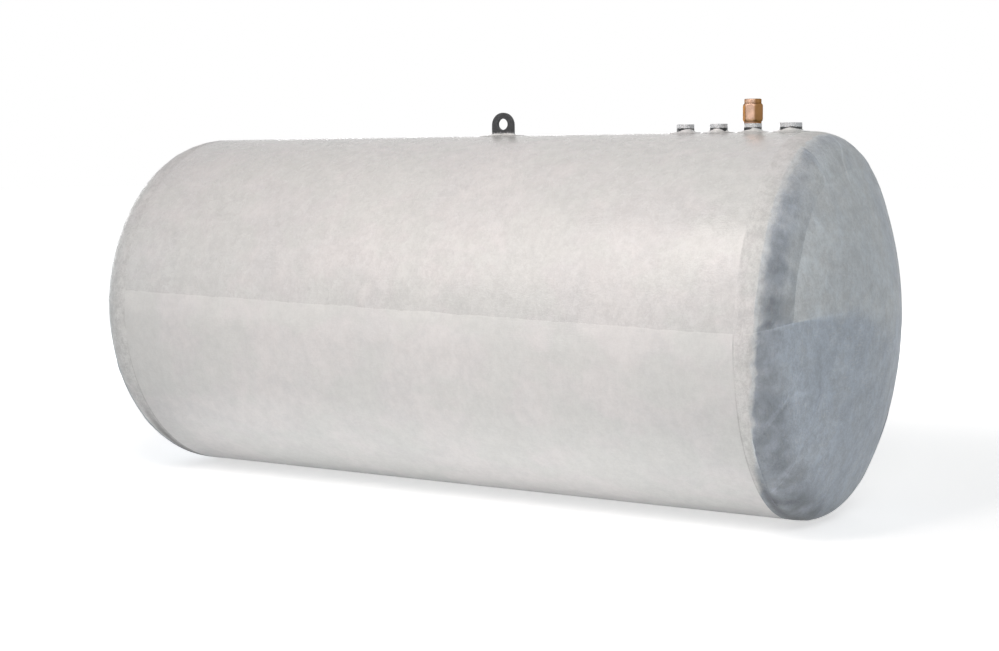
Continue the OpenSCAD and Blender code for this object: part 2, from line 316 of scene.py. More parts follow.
def put_mesh(name, points, faces, shades, lay=None, sharp=38):
    """An object from points and four-cornered faces. A face whose middle corners are one point is a
    triangle. shades holds named numbers for each point, and lay is its place on the unrolled sheet
    in metres."""
    points = points.reshape(-1, 3)
    faces = outward(points, faces)
    used, faces = np.unique(faces, return_inverse=True)
    faces = faces.reshape(-1, 4)
    points = points[used]
    flat = faces[:, 1] == faces[:, 2]
    quads, tris = faces[~flat], faces[flat][:, [0, 1, 3]]
    corners = np.concatenate([quads.ravel(), tris.ravel()]).astype(np.int32)
    starts = np.concatenate([np.arange(len(quads)) * 4, quads.size + np.arange(len(tris)) * 3])
    mesh = bpy.data.meshes.new(name)
    mesh.vertices.add(len(points))
    mesh.vertices.foreach_set("co", points.astype(np.float32).ravel())
    mesh.loops.add(len(corners))
    mesh.loops.foreach_set("vertex_index", corners)
    mesh.polygons.add(len(starts))
    mesh.polygons.foreach_set("loop_start", starts.astype(np.int32))
    mesh.polygons.foreach_set("use_smooth", np.ones(len(starts), bool))
    if lay is not None:
        layer = mesh.uv_layers.new(name="lay")
        layer.uv.foreach_set("vector", lay.reshape(-1, 2)[used][corners].astype(np.float32).ravel())
    for key, shade in shades.items():
        values = mesh.attributes.new(key, "FLOAT", "POINT")
        values.data.foreach_set("value", shade.ravel()[used].astype(np.float32))
    mesh.update(calc_edges=True)
    if mesh.validate():
        raise RuntimeError(f"the mesh of {name} had faults")
    mesh.set_sharp_from_angle(angle=math.radians(sharp))
    piece = bpy.data.objects.new(name, mesh)
    bpy.context.scene.collection.objects.link(piece)
    return piece


def settle(piece, material, slot, *nodes):
    """Gives a piece its material and its place in the frame."""
    piece.data.materials.append(material)
    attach(piece, "root")
    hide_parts(*nodes)


def put_wall(name, outer, inner, cells, lay, shades, material, slot, node):
    """A closed thin wall between an outer and an inner grid of points, in its place in the
    frame."""
    piece = put_mesh(
        name,
        np.concatenate([outer.reshape(-1, 3), inner.reshape(-1, 3)]),
        thin_wall(cells, outer[..., 0].size),
        {key: twice(values) for key, values in shades.items()},
        np.concatenate([lay, lay]),
    )
    settle(piece, material, slot, node)


def put_loop(name, points, material, slot, node, sharp, tone=None, lay=None):
    """A closed profile carried round, whose grid of points joins up both ways, in its place in the
    frame."""
    rows, cols = points.shape[:2]
    shades = {} if tone is None else {"tone": np.full(rows * cols, tone)}
    piece = put_mesh(name, points, grid_cells(rows, cols, True, True), shades, lay, sharp)
    settle(piece, material, slot, node)


def refinish(name, material):
    """Gives a node of the frame, whose shape stays, a finish of its own."""
    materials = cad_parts[name].data.materials
    materials.clear()
    materials.append(material)


# ---- the surfaces of the coat -------------------------------------------------------------


def on_cylinder(x, phi):
    """Points and outward directions on the coat's cylinder: x along the tank, phi from the top
    towards the front."""
    x, phi = np.broadcast_arrays(x, phi)
    out = np.stack([np.zeros_like(phi), -np.sin(phi), np.cos(phi)], -1)
    return np.stack([x, 0 * x, 0 * x + AXIS_Z], -1) + COAT_R * out, out


def end_lengths(sizes):
    """The crown's angle, and how far along the end's profile its straight part, knuckle and crown
    stop."""
    crown = math.asin((VESSEL_R - sizes.knuckle_r) / (sizes.crown_r - sizes.knuckle_r))
    straight = sizes.tangent - SHEET_END
    knuckle = straight + (sizes.knuckle_r + COAT_T) * (math.pi / 2 - crown)
    return crown, straight, knuckle, knuckle + (sizes.crown_r + COAT_T) * crown


def on_end(s, phi, side, sizes):
    """Points and outward directions on a dished end. s runs along its profile: a straight part, an
    arc of the knuckle's radius and one of the crown's, which share a tangent. phi is as on the
    cylinder."""
    crown, straight, knuckle, _ = end_lengths(sizes)
    s, phi = np.broadcast_arrays(s, phi)
    kr, cr = sizes.knuckle_r + COAT_T, sizes.crown_r + COAT_T
    turn = np.clip((s - straight) / kr, 0, None)
    lean = crown - (s - knuckle) / cr
    on_knuckle, on_crown = (s > straight) & (s <= knuckle), s > knuckle
    angle = np.where(on_crown, math.pi / 2 - lean, np.where(on_knuckle, turn, 0.0))
    x = np.where(
        on_crown,
        sizes.tangent - (sizes.crown_r - sizes.knuckle_r) * math.cos(crown) + cr * np.sin(angle),
        np.where(on_knuckle, sizes.tangent + kr * np.sin(angle), SHEET_END + s),
    )
    radius = np.where(
        on_crown,
        cr * np.cos(angle),
        np.where(on_knuckle, VESSEL_R - sizes.knuckle_r + kr * np.cos(angle), COAT_R),
    )
    along, across = np.sin(angle), np.cos(angle)
    sine, cosine = np.sin(phi), np.cos(phi)
    out = np.stack([side * along, -across * sine, across * cosine], -1)
    return np.stack([side * x, -radius * sine, AXIS_Z + radius * cosine], -1), out


def unevenness(points, sizes):
    """Height of the hand-laid coat against its true round, from 0 down to about 1.2 mm: broad
    swells, and shorter ones a third as deep."""
    broad = noise(points, 3.3, 5) * 0.6 + noise(points, 8.1, 6) * 0.4
    short = noise(points, 21.0, 7) * 0.6 + noise(points, 43.0, 8) * 0.4
    return sizes.swell * (0.5 * broad - 0.5) + sizes.swell * 0.35 * (0.5 * short - 0.5)


def seam_height(x, back, sizes):
    """Height of the lap's edge above the axis: a line that drops along the tank, ragged by a few
    millimetres."""
    ragged = 0.0030 * wander(x, 9.0, 21 + back) + 0.0020 * wander(x, 60.0, 31 + back)
    return sizes.seam_rise - x * math.tan(sizes.seam_drop) + ragged


def lengthwise(sizes):
    """Places along the cylinder from end to end, as a column."""
    return np.linspace(-SHEET_END, SHEET_END, int(2 * SHEET_END / sizes.cell) + 1)[:, None]


def upper_sheet(sizes, material):
    """Thin wall over the top: x along the tank, and phi between the front and the back line that
    lie under the laps. It leaves out the cells round the sockets and the lug."""
    x = lengthwise(sizes)
    height = sizes.seam_rise - sizes.lap_w - x * math.tan(sizes.seam_drop)
    limit = np.arccos(height / COAT_R)
    share = np.linspace(-1, 1, int(math.pi * COAT_R / (sizes.cell * 1.18)) + 1)[None, :]
    phi = limit * share
    base, out = on_cylinder(x, phi)
    outer = base + out * unevenness(base, sizes)[..., None]
    cells = grid_cells(*phi.shape)
    cell_x, cell_y, cell_z = outer.reshape(-1, 3)[cells].mean(1).T
    open_cells = np.zeros(len(cells), bool)
    for number in SOCKETS:
        centre_x, tube_r, _, _ = post(f"socket_{number}")
        open_cells |= np.hypot(cell_x - centre_x, cell_y) < tube_r + OPENING_GAP
    low, high = span("lifting_lug")
    over = (cell_x > low[0] - OPENING_GAP) & (cell_x < high[0] + OPENING_GAP)
    open_cells |= over & (np.abs(cell_y) < high[1] + OPENING_GAP)
    cells = cells[~(open_cells & (cell_z > AXIS_Z))]
    above = outer[..., 2] - AXIS_Z - seam_height(x, 0, sizes)
    tone = 1.0 - 0.030 * (1 - step(above, 0.02, 0.18))
    lay = np.stack([np.broadcast_to(x, phi.shape), phi * COAT_R], -1)
    put_wall("laminate_upper", outer, base - out * COAT_DEPTH, cells, lay, {"tone": tone},
             material, "laminate", "sheet_upper")


def lower_sheet(sizes, material):
    """Thin wall under the belly, between the ragged edges of its front and back laps. Near an edge
    it lies on the upper sheet and thins out, and below the lap it comes down on the steel again
    over a soft step."""
    x = lengthwise(sizes)
    front = np.arccos(seam_height(x, 0, sizes) / COAT_R)
    back = 2 * math.pi - np.arccos(seam_height(x, 7, sizes) / COAT_R)
    # Distances from an edge of the rows of points, which close up towards it
    belt = np.array([0, 0.0012, 0.003, 0.006, 0.011, 0.018, 0.027, 0.038, 0.050, 0.0625, 0.07])
    width = math.pi * COAT_R - 2 * belt[-1] - 2 * sizes.seam_rise
    middle = np.linspace(0, 1, int(width / (sizes.cell * 1.2)))
    low, high = front + belt[-1] / COAT_R, back - belt[-1] / COAT_R
    phi = np.concatenate(
        [front + belt[None, :-1] / COAT_R, low + (high - low) * middle, back - belt[None, -2::-1] / COAT_R],
        axis=1,
    )
    base, out = on_cylinder(x, phi)
    below = np.minimum(phi - front, back - phi) * COAT_R
    rise = unevenness(base, sizes)
    edge = sizes.lap_edge_t + (LAP_T * 0.8 - sizes.lap_edge_t) * step(below, 0.0, 0.030)
    lap = edge * (1 - step(below, 0.052, 0.150))
    outer = base + out * (rise + lap)[..., None]
    hollow = step(below, sizes.lap_w, sizes.lap_w + 0.011)
    inner = base + out * ((rise + 0.00015) * (1 - hollow) - COAT_DEPTH * hollow)[..., None]
    # Lighter over the lap, and a painted highlight along the lap's very edge, where its step catches the
    # light
    tone = 1.0 + 0.055 * (1 - step(below, 0.045, 0.125)) + 0.030 * (1 - step(below, 0.0, 0.006))
    lay = np.stack([np.broadcast_to(x + LAY_LOWER, phi.shape), phi * COAT_R], -1)
    put_wall("laminate_lower", outer, inner, grid_cells(*phi.shape), lay, {"tone": tone},
             material, "laminate", "sheet_lower")


# Where the laminate of an end begins: degrees from the top, distance past the tangent line and
# width of the soft edge, both in millimetres, and the brightness of the strips there, which is
# partly their own darker laminate and partly painted shade where the knuckle turns from the light
BAND_EDGE = (
    (0, 48, 30, 0.80), (12, 48, 32, 0.80), (20, 48, 34, 0.92), (30, 42, 40, 1.12), (42, 44, 40, 1.08),
    (52, 46, 46, 0.92), (62, 48, 54, 0.69), (80, 50, 58, 0.67), (88, 55, 58, 0.79), (96, 49, 56, 0.80),
    (105, 34, 52, 0.72), (115, 28, 50, 0.79), (125, 15, 42, 0.78), (136, -8, 28, 0.80),
    (145, -24, 14, 0.76), (155, -29, 10, 0.80), (180, -30, 10, 0.90),
)
# Lower edge of the mat over the upper part of an end, on the unrolled end
UPPER_MAT = ((-0.75, 0.055), (-0.45, 0.070), (-0.20, 0.075), (0.0, 0.020), (0.20, -0.040))
# Edges of mats on the unrolled end, each with its brightness
MAT_EDGES = (
    (2.6, (-0.640, 0.054), (-0.450, 0.070), (-0.250, 0.075)),
    (2.2, (-0.032, 0.000), (-0.036, -0.180), (-0.026, -0.420)),
    (5.5, (-0.600, -0.270), (-0.567, -0.200), (-0.545, -0.166), (-0.500, -0.144), (-0.440, -0.150)),
    (4.2, (-0.474, -0.470), (-0.455, -0.380), (-0.425, -0.345), (-0.375, -0.340)),
    (-1.8, (-0.425, 0.010), (-0.410, -0.060), (-0.396, -0.140)),
    (7.0, (-0.012, 0.660), (-0.028, 0.585), (-0.080, 0.530), (-0.090, 0.440)),
    (4.0, (-0.250, 0.600), (-0.245, 0.500), (-0.250, 0.440)),
    (2.8, (-0.460, 0.420), (-0.370, 0.360), (-0.330, 0.330)),
    (-3.0, (-0.600, -0.350), (-0.550, -0.430), (-0.480, -0.500)),
)


def unrolled(s, phi, sizes):
    """Place on the unrolled end, in metres towards the back and upwards from its middle."""
    away = end_lengths(sizes)[3] - s
    return -away * np.sin(phi), away * np.cos(phi)


def from_top(phi):
    """Degrees from the top, which count up both towards the front and towards the back."""
    return np.abs((np.degrees(phi) + 180) % 360 - 180)


def end_shade(s, phi, points, sizes):
    """Colour share of the laminate of an end: 0 on the cylinder, 0.5 on the grey mat over the upper
    part and 1 on the blue one below, with a soft frayed edge to the cylinder. Its cool colours are
    partly painted shade. On the left end it begins a little further in."""
    straight = end_lengths(sizes)[1]
    degrees, edge, soft, _ = np.array(BAND_EDGE).T
    edge = np.interp(from_top(phi), degrees, edge) / 1000
    soft = np.interp(from_top(phi), degrees, soft) / 1000
    frayed = 0.0045 * noise(points, 34.0, 15) + 0.0030 * noise(points, 95.0, 16)
    past = s - straight - edge + frayed * np.clip(soft / 0.012, 0.4, 1.6)
    past = past - LEFT_SHIFT * (points[..., 0] < 0)
    across, up = unrolled(s, phi, sizes)
    line_x, line_y = np.array(UPPER_MAT).T
    over = up - np.interp(across, line_x, line_y) + 0.0015 * noise(points, 40.0, 17)
    spread = 0.004 + 0.11 * step(across, -0.48, -0.15)
    blue = 1 - step(over / spread, -1, 1) * (1 - 0.5 * step(across, 0.0, 0.16))
    return step(past, -soft / 2, soft / 2) * (0.5 + 0.5 * blue)


def end_tone(s, phi, light, sizes):
    """Brightness of an end: its laps' lines, and painted shade low down where the knuckle begins."""
    past = s - end_lengths(sizes)[1]
    turn = from_top(phi)
    # Painted shade low down on the end, just past the tangent line, in a band that widens towards the
    # bottom
    wide = 0.018 + 0.024 * step(turn, 146, 158)
    grime_and_shade = step(turn, 116, 144) * np.exp(-(((past - 0.004 - 0.010 * step(turn, 148, 158)) / wide) ** 2))
    return (1 + 0.035 * light) * (1 - 0.60 * grime_and_shade)


def mat_edges(s, phi, sizes):
    """Height and brightness of the laps of the mats on an end: a step of 0.4 mm across each edge,
    which levels out again over 0.12 m, with a light or dark line on it. Both fade towards the
    edge's two ends."""
    across, up = unrolled(s, phi, sizes)
    height, light = np.zeros_like(up), np.zeros_like(up)
    for number, (bright, *line) in enumerate(MAT_EDGES):
        line = np.array(line)
        nearest, off, along, before = np.full_like(up, 9.0), 0 * up, 0 * up, 0.0
        for (x0, y0), (x1, y1) in zip(line[:-1], line[1:]):
            long = math.hypot(x1 - x0, y1 - y0)
            ux, uy = (x1 - x0) / long, (y1 - y0) / long
            run = (across - x0) * ux + (up - y0) * uy
            side = (up - y0) * ux - (across - x0) * uy
            far = np.hypot(side, run - np.clip(run, 0, long))
            closer = far < nearest
            nearest = np.where(closer, far, nearest)
            off = np.where(closer, side, off)
            along = np.where(closer, before + run, along)
            before += long
        off = off + 0.0015 * wander(along, 35.0, 41 + number)
        fade = step(along, -0.01, 0.04) * (1 - step(along, before - 0.04, before + 0.01))
        height -= 0.0004 * fade * step(off, -0.003, 0.003) * (1 - step(off, 0.02, 0.12))
        light += bright * fade * np.exp(-((off / 0.0060) ** 2))
    return height, light


def end_coat(side, sizes, material):
    """Closed thin dish over an end: the profile turned about the tank's axis, with its pole drawn
    to one point. Outside it carries the coat's unevenness and the laps of its mats."""
    _, straight, knuckle, total = end_lengths(sizes)
    s = np.concatenate([
        straight * np.array([0, 0.12, 0.28, 0.6]),
        np.linspace(straight, knuckle, 22)[:-1],
        np.linspace(knuckle, total, int((total - knuckle) / sizes.cell)),
    ])[:, None]
    rows, cols = len(s), 300
    phi = whole_turn(cols)[None, :]
    base, out = on_end(s, phi, side, sizes)
    dished = step(s, straight, knuckle)
    height, light = mat_edges(s, phi, sizes)
    rise = unevenness(base, sizes) + dished * height
    cells = grid_cells(rows, cols, wrap_cols=True)
    pole = (rows - 1) * cols
    cells[cells >= pole] = pole
    cool = end_shade(s, phi, base, sizes)
    turn = from_top(phi)
    # A painted shadow line along the first few millimetres of the end coat on its lower part, where its
    # edge is lifted at the fold
    fold_shadow = step(turn, 92, 112) * (1 - 0.6 * step(turn, 160, 175)) * (1 - step(s, 0.001, 0.006))
    tone = (1.0 - 0.20 * fold_shadow) * end_tone(s, phi, light * dished, sizes)
    # Painted shade on the lower knuckle just past the tangent line, where the end turns under and away from
    # the light
    rim = np.clip(2 * cool, 0, 1) * (1 - step(s - straight, 0.04, 0.08))
    tone = tone * (1 - 0.34 * step(turn, 116, 136) * rim)
    away = total - s
    lay = np.stack([away * np.sin(phi), away * np.cos(phi)], -1) + side * LAY_END
    name = "right" if side > 0 else "left"
    put_wall("end_coat_" + name, base + out * rise[..., None], base - out * COAT_DEPTH, cells, lay,
             {"tone": tone, "cool": cool}, material, "laminate_ends", "cap_" + name)


# Strips round the knuckle, from the top towards the front and on round: the name, the start
# and its slant in degrees, the distance of the outer edge from the tangent line, the depth
# inwards from the side of the vessel, in millimetres, the tone, which is partly the strip's own
# darker laminate and partly painted shade of the knuckle, and the distance in millimetres
# over which the tone fades away towards the inner edge, or 0 where it only weakens
STRIPS = (
    ("top", -26, 24, 48, 112, 0.92, 0),
    ("top_front", 9, -40, 48, 112, 0.90, 0),
    ("upper_front", 26, -24, 48, 90, 0.72, 0),
    ("middle_front", 83, 15, 26, 168, 0.78, 90),
    ("lower_front", 104, 45, 26, 144, 0.70, 100),
    ("foot_front", 126, 43, 26, 198, 0.70, 130),
    ("bottom", 157, 45, 26, 144, 0.72, 120),
    ("foot_back", 203, -45, 26, 198, 0.70, 130),
    ("lower_back", 234, -43, 26, 144, 0.70, 100),
    ("middle_back", 256, -45, 26, 168, 0.78, 90),
    ("upper_back", 277, -15, 48, 90, 0.72, 0),
)


def profile_place(radius, sizes):
    """Distance along the end's profile at which it has come in to a radius."""
    _, straight, _, total = end_lengths(sizes)
    s = np.linspace(straight, total, 4000)
    points, _ = on_end(s, 0.0 * s, 1, sizes)
    return float(np.interp(-radius, -(points[:, 2] - AXIS_Z), s))


def strip_grid(number, sizes):
    """Places of a strip's points, as distances along the end's profile and turns, with rows that
    close up towards its two slanting edges, and the distances of the points from its first, last,
    outer and inner edge."""
    straight = end_lengths(sizes)[1]
    _, start, slant, offset, depth, _, _ = STRIPS[number]
    after = STRIPS[(number + 1) % len(STRIPS)]
    stop, stop_slant = after[1] + (360 if after[1] < start else 0), after[2]
    kr = sizes.knuckle_r + COAT_T
    s0 = straight + kr * math.asin(offset / 1000 / kr) - STRIP_OVERHANG
    s1 = profile_place(VESSEL_R - depth / 1000, sizes)
    cell_in, cell_round = 0.0060, 0.0065
    b = np.linspace(0, 1, int((s1 - s0) / cell_in) + 2)[:, None]
    s_mid = s0 + (s1 - s0) * b
    radius = on_end(s_mid, 0.0 * s_mid, 1, sizes)[0][..., 2] - AXIS_Z
    reach = straight + kr * (math.pi / 2) * SLANT_PIVOT - s_mid
    first = math.radians(start) + reach * math.tan(math.radians(slant)) / radius
    last = math.radians(stop) + reach * math.tan(math.radians(stop_slant)) / radius
    last = last + sizes.strip_lap / radius
    edge_noise = 0.0016 * wander(s_mid, 55.0, 60 + number) / radius
    first, last = first + edge_noise, last + edge_noise
    # Distances from a slanting edge of the points near it
    near = np.array([0, 0.0015, 0.004, 0.008, 0.013, 0.019])
    wide = math.radians(stop - start) * VESSEL_R
    inside = np.linspace(0, 1, max(int(wide / cell_round), 5))
    lap = near[-1] / radius
    phi = np.concatenate(
        [first + near[None, :-1] / radius, first + lap + (last - first - 2 * lap) * inside,
         last - near[None, -2::-1] / radius],
        axis=1,
    )
    frayed_in = 0.0030 * wander(phi * VESSEL_R, 24.0, 80 + number) * b
    frayed_out = 0.0035 * wander(phi * VESSEL_R, 18.0, 95 + number) * (1 - b)
    edges = (phi - first) * radius, (last - phi) * radius, s_mid - s0 + 0 * phi, s1 - s_mid + 0 * phi
    return s_mid + frayed_in + frayed_out, phi, edges


def strip_shades(number, s, phi, base, light, from_first, from_inner, sizes):
    """Brightness and colour share of a strip: patchy and dark where it lies on the knuckle, partly its
    own darker laminate and partly painted shade where the knuckle turns from the light, lighter along
    its edges, and bluer where it is darkest, as painted cool shade."""
    tone, fade = STRIPS[number][-2:]
    past = s - end_lengths(sizes)[1]
    cool = end_shade(s, phi, base, sizes)
    coloured = np.clip(2 * cool, 0, 1)
    held = 1 - step(past, 0.070, 0.070 + fade / 1000) if fade else 1 - 0.55 * step(past, 0.080, 0.135)
    patchy = 1 + 0.30 * noise(base, 17.0, 18) + 0.20 * noise(base, 45.0, 19)
    degrees, _, _, bright = np.array(BAND_EDGE).T
    tone = tone * np.interp(from_top(phi), degrees, bright)
    line = np.exp(-((from_first / 0.004) ** 2)) + 0.7 * np.exp(-((from_inner / 0.005) ** 2))
    # Painted shade, partly the strip's own darker laminate: the strip darkens by its tone on the knuckle
    shade = 1 - (1 - tone) * held * patchy * coloured
    shade = shade * (1 + 0.11 * line * (0.35 + 0.65 * held)) * end_tone(s, phi, light, sizes)
    # Painted cool shade: the strip turns bluer where it is painted darkest
    cool = np.maximum(cool, coloured * (0.5 + np.clip(1.2 * (1 - tone), 0, 0.5) * held * patchy))
    return shade, cool


def knuckle_strip(side, number, sizes, material):
    """Thin strip bent round the knuckle. It lies on the end coat, and near its first edge on the
    strip before it, and its edges thin out."""
    _, straight, knuckle, _ = end_lengths(sizes)
    s, phi, (from_first, from_last, from_outer, from_inner) = strip_grid(number, sizes)
    base, out = on_end(s, phi, side, sizes)
    height, light = mat_edges(s, phi, sizes)
    ground = unevenness(base, sizes) + step(s, straight, knuckle) * height
    under = sizes.strip_t * (1 - step(from_first, sizes.strip_lap, sizes.strip_lap + 0.009))
    under = under * step(from_outer, 0.0, 0.02)
    full = np.minimum(step(from_outer, -0.004, 0.030), step(from_inner, -0.002, 0.010))
    full = np.minimum(full, step(from_first, -0.0015, 0.0035))
    thick = sizes.strip_t * (1 - 0.75 * step(sizes.strip_lap - from_last, 0.0, sizes.strip_lap))
    outer = base + out * (ground + under + 0.00025 + thick * full)[..., None]
    inner = base + out * (ground + under + 0.00005)[..., None]
    shade, cool = strip_shades(number, s, phi, base, light, from_first, from_inner, sizes)
    lay = np.stack([phi * VESSEL_R, s], -1) + number * LAY_STRIP
    name = f"{'right' if side > 0 else 'left'}_{STRIPS[number][0]}"
    put_wall("strip_coat_" + name, outer, inner, grid_cells(*phi.shape), lay,
             {"tone": shade, "cool": cool}, material, "laminate_ends", "strip_" + name)


def coat_height(y):
    """Height of the coat above the floor at a distance to the side: the top of its circle."""
    return AXIS_Z + np.sqrt(COAT_R**2 - y**2)


def put_skirt(name, x, y, height, share, pebbles, lay, material, node):
    """A closed sheet that lies on the coat round an upright piece and sweeps up its side. The
    heights are over the coat, share tells the rows of the outer face and how far in they are, and
    pebbles hold the depth, the scale and the seed of its two layers of bumps."""
    points = np.stack([x, y, coat_height(y) + height], -1)
    bumps = sum(deep * noise(points, scale, seed) for deep, scale, seed in pebbles)
    points[: len(share), :, 2] += bumps[: len(share)] * step(share, 0.0, 0.15)
    put_loop(name, points, material, "laminate", node, 50, COLLAR_TONE, lay)


def socket_collar(number, sizes, material):
    """Laminate collar round a socket: a closed profile carried round the socket's axis. It starts
    thin at a ragged outer edge, lies on the coat, and sweeps up the socket to a torn upper edge,
    which is highest on one side."""
    centre_x, tube_r, _, _ = post(f"socket_{number}")
    cols = 120
    turn = whole_turn(cols)
    circle = around(0, 1, turn, np.full(cols, number * 2.3))
    reach = sizes.collar_reach + 0.0030 * noise(circle, 1.6, 51) + 0.0012 * noise(circle, 6.0, 52)
    side = sizes.hump_turn + 0.25 * math.sin(2.4 * number)
    off = (turn - side + math.pi) % (2 * math.pi) - math.pi
    climb = sizes.collar_climb + sizes.hump_rise * np.exp(-((off / 0.75) ** 2))
    climb = climb + 0.0020 * noise(circle, 2.2, 53) + 0.0012 * noise(circle, 7.0, 54)
    share = np.concatenate([[0, 0.03, 0.08], np.linspace(0.16, 1, 16)])[:, None]
    hug = tube_r + 0.0003
    radius = hug + reach * (1 - share) + 0.0012 * share**6
    sweep = np.exp(-(1 - share) * reach / 0.0045)
    height = 0.0004 + 0.0009 * step(share, 0.0, 0.18) + (climb - 0.0013) * sweep
    level = np.ones((1, cols))
    radius = np.concatenate([radius, hug * level, hug * level, hug + reach * level])
    height = np.concatenate([height, height[-1:] - 0.0002, -SKIRT_IN * level, -SKIRT_OUT * level])
    x, y = centre_x + radius * np.cos(turn), radius * np.sin(turn)
    put_skirt(f"collar_coat_{number}", x, y, height, share, ((0.0003, 130.0, 55), (0.0005, 60.0, 56)),
              np.stack([x, y], -1), material, f"collar_{number}")


def rounded_oblong(turn, wide, deep, power):
    """Outline of a rounded rectangle: the superellipse of a power, in directions that turn
    evenly."""
    c, s = np.cos(turn), np.sin(turn)
    r = (np.abs(c / wide) ** power + np.abs(s / deep) ** power) ** (-1 / power)
    return r * c, r * s


def lug_patch(sizes, material):
    """Laminate patch round the lug: rows run from the ragged outer edge, a rounded rectangle, in to
    the plate, and sweep up its sides."""
    centre_x, half_w, _, _ = post("lifting_lug")
    half_t = span("lifting_lug")[1][1]
    cols = 220
    turn = whole_turn(cols)
    circle = around(0, 1, turn, np.full(cols, 0.7))
    out_x, out_y = rounded_oblong(turn, half_w + sizes.patch_reach, half_t + sizes.patch_reach, 4.5)
    in_x, in_y = rounded_oblong(turn, half_w + 0.0004, half_t + 0.0004, 26)
    grow = 1 + 0.05 * noise(circle, 1.7, 61) + 0.03 * noise(circle, 5.0, 62)
    share = np.concatenate([[0, 0.03, 0.08], np.linspace(0.16, 1, 18)])[:, None]
    x = out_x * grow * (1 - share) + in_x * share
    y = out_y * grow * (1 - share) + in_y * share
    from_plate = np.hypot(x - in_x, y - in_y)
    climb = 0.0068 + 0.0022 * noise(circle, 2.6, 63) + 0.0012 * noise(circle, 9.0, 64)
    height = 0.0004 + 0.0012 * step(share, 0.0, 0.15) + (climb - 0.0016) * np.exp(-from_plate / 0.0050)
    x = np.concatenate([x, in_x[None], out_x[None] * grow])
    y = np.concatenate([y, in_y[None], out_y[None] * grow])
    level = np.ones((1, cols))
    height = np.concatenate([height, -SKIRT_IN * level, -SKIRT_OUT * level])
    put_skirt("patch_coat", centre_x + x, y, height, share, ((0.0004, 120.0, 65), (0.0006, 50.0, 66)),
              np.stack([x, y], -1), material, "lug_patch")


# ---- steel and brass ----------------------------------------------------------------------


def turned_socket(number, core_r, threaded, sizes, material):
    """Set-on socket: a closed profile carried round its axis. The foot follows the round of the
    shell, and the bore of an open socket has a helical thread, whose depth is the triangle wave of
    height over pitch less the share of a turn."""
    centre_x, tube_r, _, rim = post(f"socket_{number}")
    turn = whole_turn(96)[None, :]
    bevel, mouth = 0.0008, 0.0016
    foot = AXIS_Z + np.sqrt(VESSEL_R**2 - (tube_r * np.sin(turn)) ** 2)
    foot_in = AXIS_Z + np.sqrt(VESSEL_R**2 - (core_r * np.sin(turn)) ** 2)
    outer_z = foot + (rim - bevel - foot) * np.linspace(0, 1, 9)[:, None]
    outer_r = tube_r + 0 * outer_z
    rim_r = np.array([tube_r - 0.25 * bevel, tube_r - 0.6 * bevel, tube_r - 1.3 * bevel,
                      core_r + mouth + 0.0006, core_r + mouth])[:, None] + 0 * turn
    rim_z = np.array([rim - 0.45 * bevel, rim - 0.1 * bevel, rim, rim, rim - 0.0002])[:, None] + 0 * turn
    bore = np.linspace(1, 0, 72 if threaded else 6)[:, None]
    bore_z = foot_in + 0.0012 + (rim - mouth - foot_in - 0.0012) * bore
    # The thread runs out near the mouth and near the foot
    wave = np.abs(((bore_z / sizes.thread_pitch - turn / (2 * math.pi)) % 1) * 2 - 1)
    fade = step(rim - bore_z, mouth, 0.004) * step(bore_z - foot_in, 0.001, 0.003)
    bore_r = core_r + (sizes.thread_depth * wave * fade if threaded else 0 * wave)
    radius = np.concatenate([outer_r, rim_r, bore_r, core_r + 0.001 + 0 * turn])
    height = np.concatenate([outer_z, rim_z, bore_z, foot_in])
    points = around(centre_x, radius, turn, height)
    dents = 0.00012 * noise(points, 90.0, 70 + number) * (radius > core_r + 0.004)
    points[..., :2] += dents[..., None]
    put_loop(f"socket_turned_{number}", points, material, "socket_steel", f"socket_{number}", 32)


def lug_plate(sizes, material):
    """Lug plate with eased edges: rays from the hole's centre meet the plate's outline, and a
    closed profile runs out over the front, round the rim, back over the rear and through the
    hole."""
    centre_x, half_w, _, top = post("lifting_lug")
    half_t = span("lifting_lug")[1][1]
    hole_r, hole_z = sizes.lug_hole_r, VESSEL_TOP + sizes.lug_hole_up
    cols = 240
    turn = whole_turn(cols) + math.pi / cols
    c, s = np.cos(turn), np.sin(turn)
    drop = top - half_w - hole_z
    head = drop * s + np.sqrt(half_w**2 - (drop * c) ** 2)
    side = half_w / np.maximum(np.abs(c), 1e-9)
    foot = (hole_z - VESSEL_TOP - 0.0002) / np.maximum(-s, 1e-9)
    reach = np.where(head * s > drop, head, np.minimum(side, foot))
    ease = 0.0016
    arc = np.linspace(0, math.pi / 2, 5)[:, None]
    down, away = ease * (1 - np.sin(arc)), ease * (1 - np.cos(arc))
    share = np.array([0.15, 0.4, 0.65, 0.88])[:, None]
    radius = np.concatenate([
        hole_r + away + 0 * reach,
        hole_r + ease + (reach - hole_r - 2 * ease) * share,
        reach - away[::-1],
    ])
    depth = half_t - np.concatenate([down, 0 * share, down[::-1]]) + 0 * reach
    radius, y = np.concatenate([radius, radius[::-1]]), np.concatenate([-depth, depth[::-1]])
    points = np.stack([centre_x + radius * c, y, hole_z + radius * s], -1)
    points[..., 1] += 0.00015 * noise(points, 70.0, 77) * np.sign(y)
    put_loop("lug_plate", points, material, "lug_steel", "lifting_lug", 30)


def soft_least(a, b, blend):
    """Smooth least of two lengths: the mean less the root of their half difference squared and a
    blend squared."""
    return (a + b) / 2 - np.sqrt(((a - b) / 2) ** 2 + blend**2)


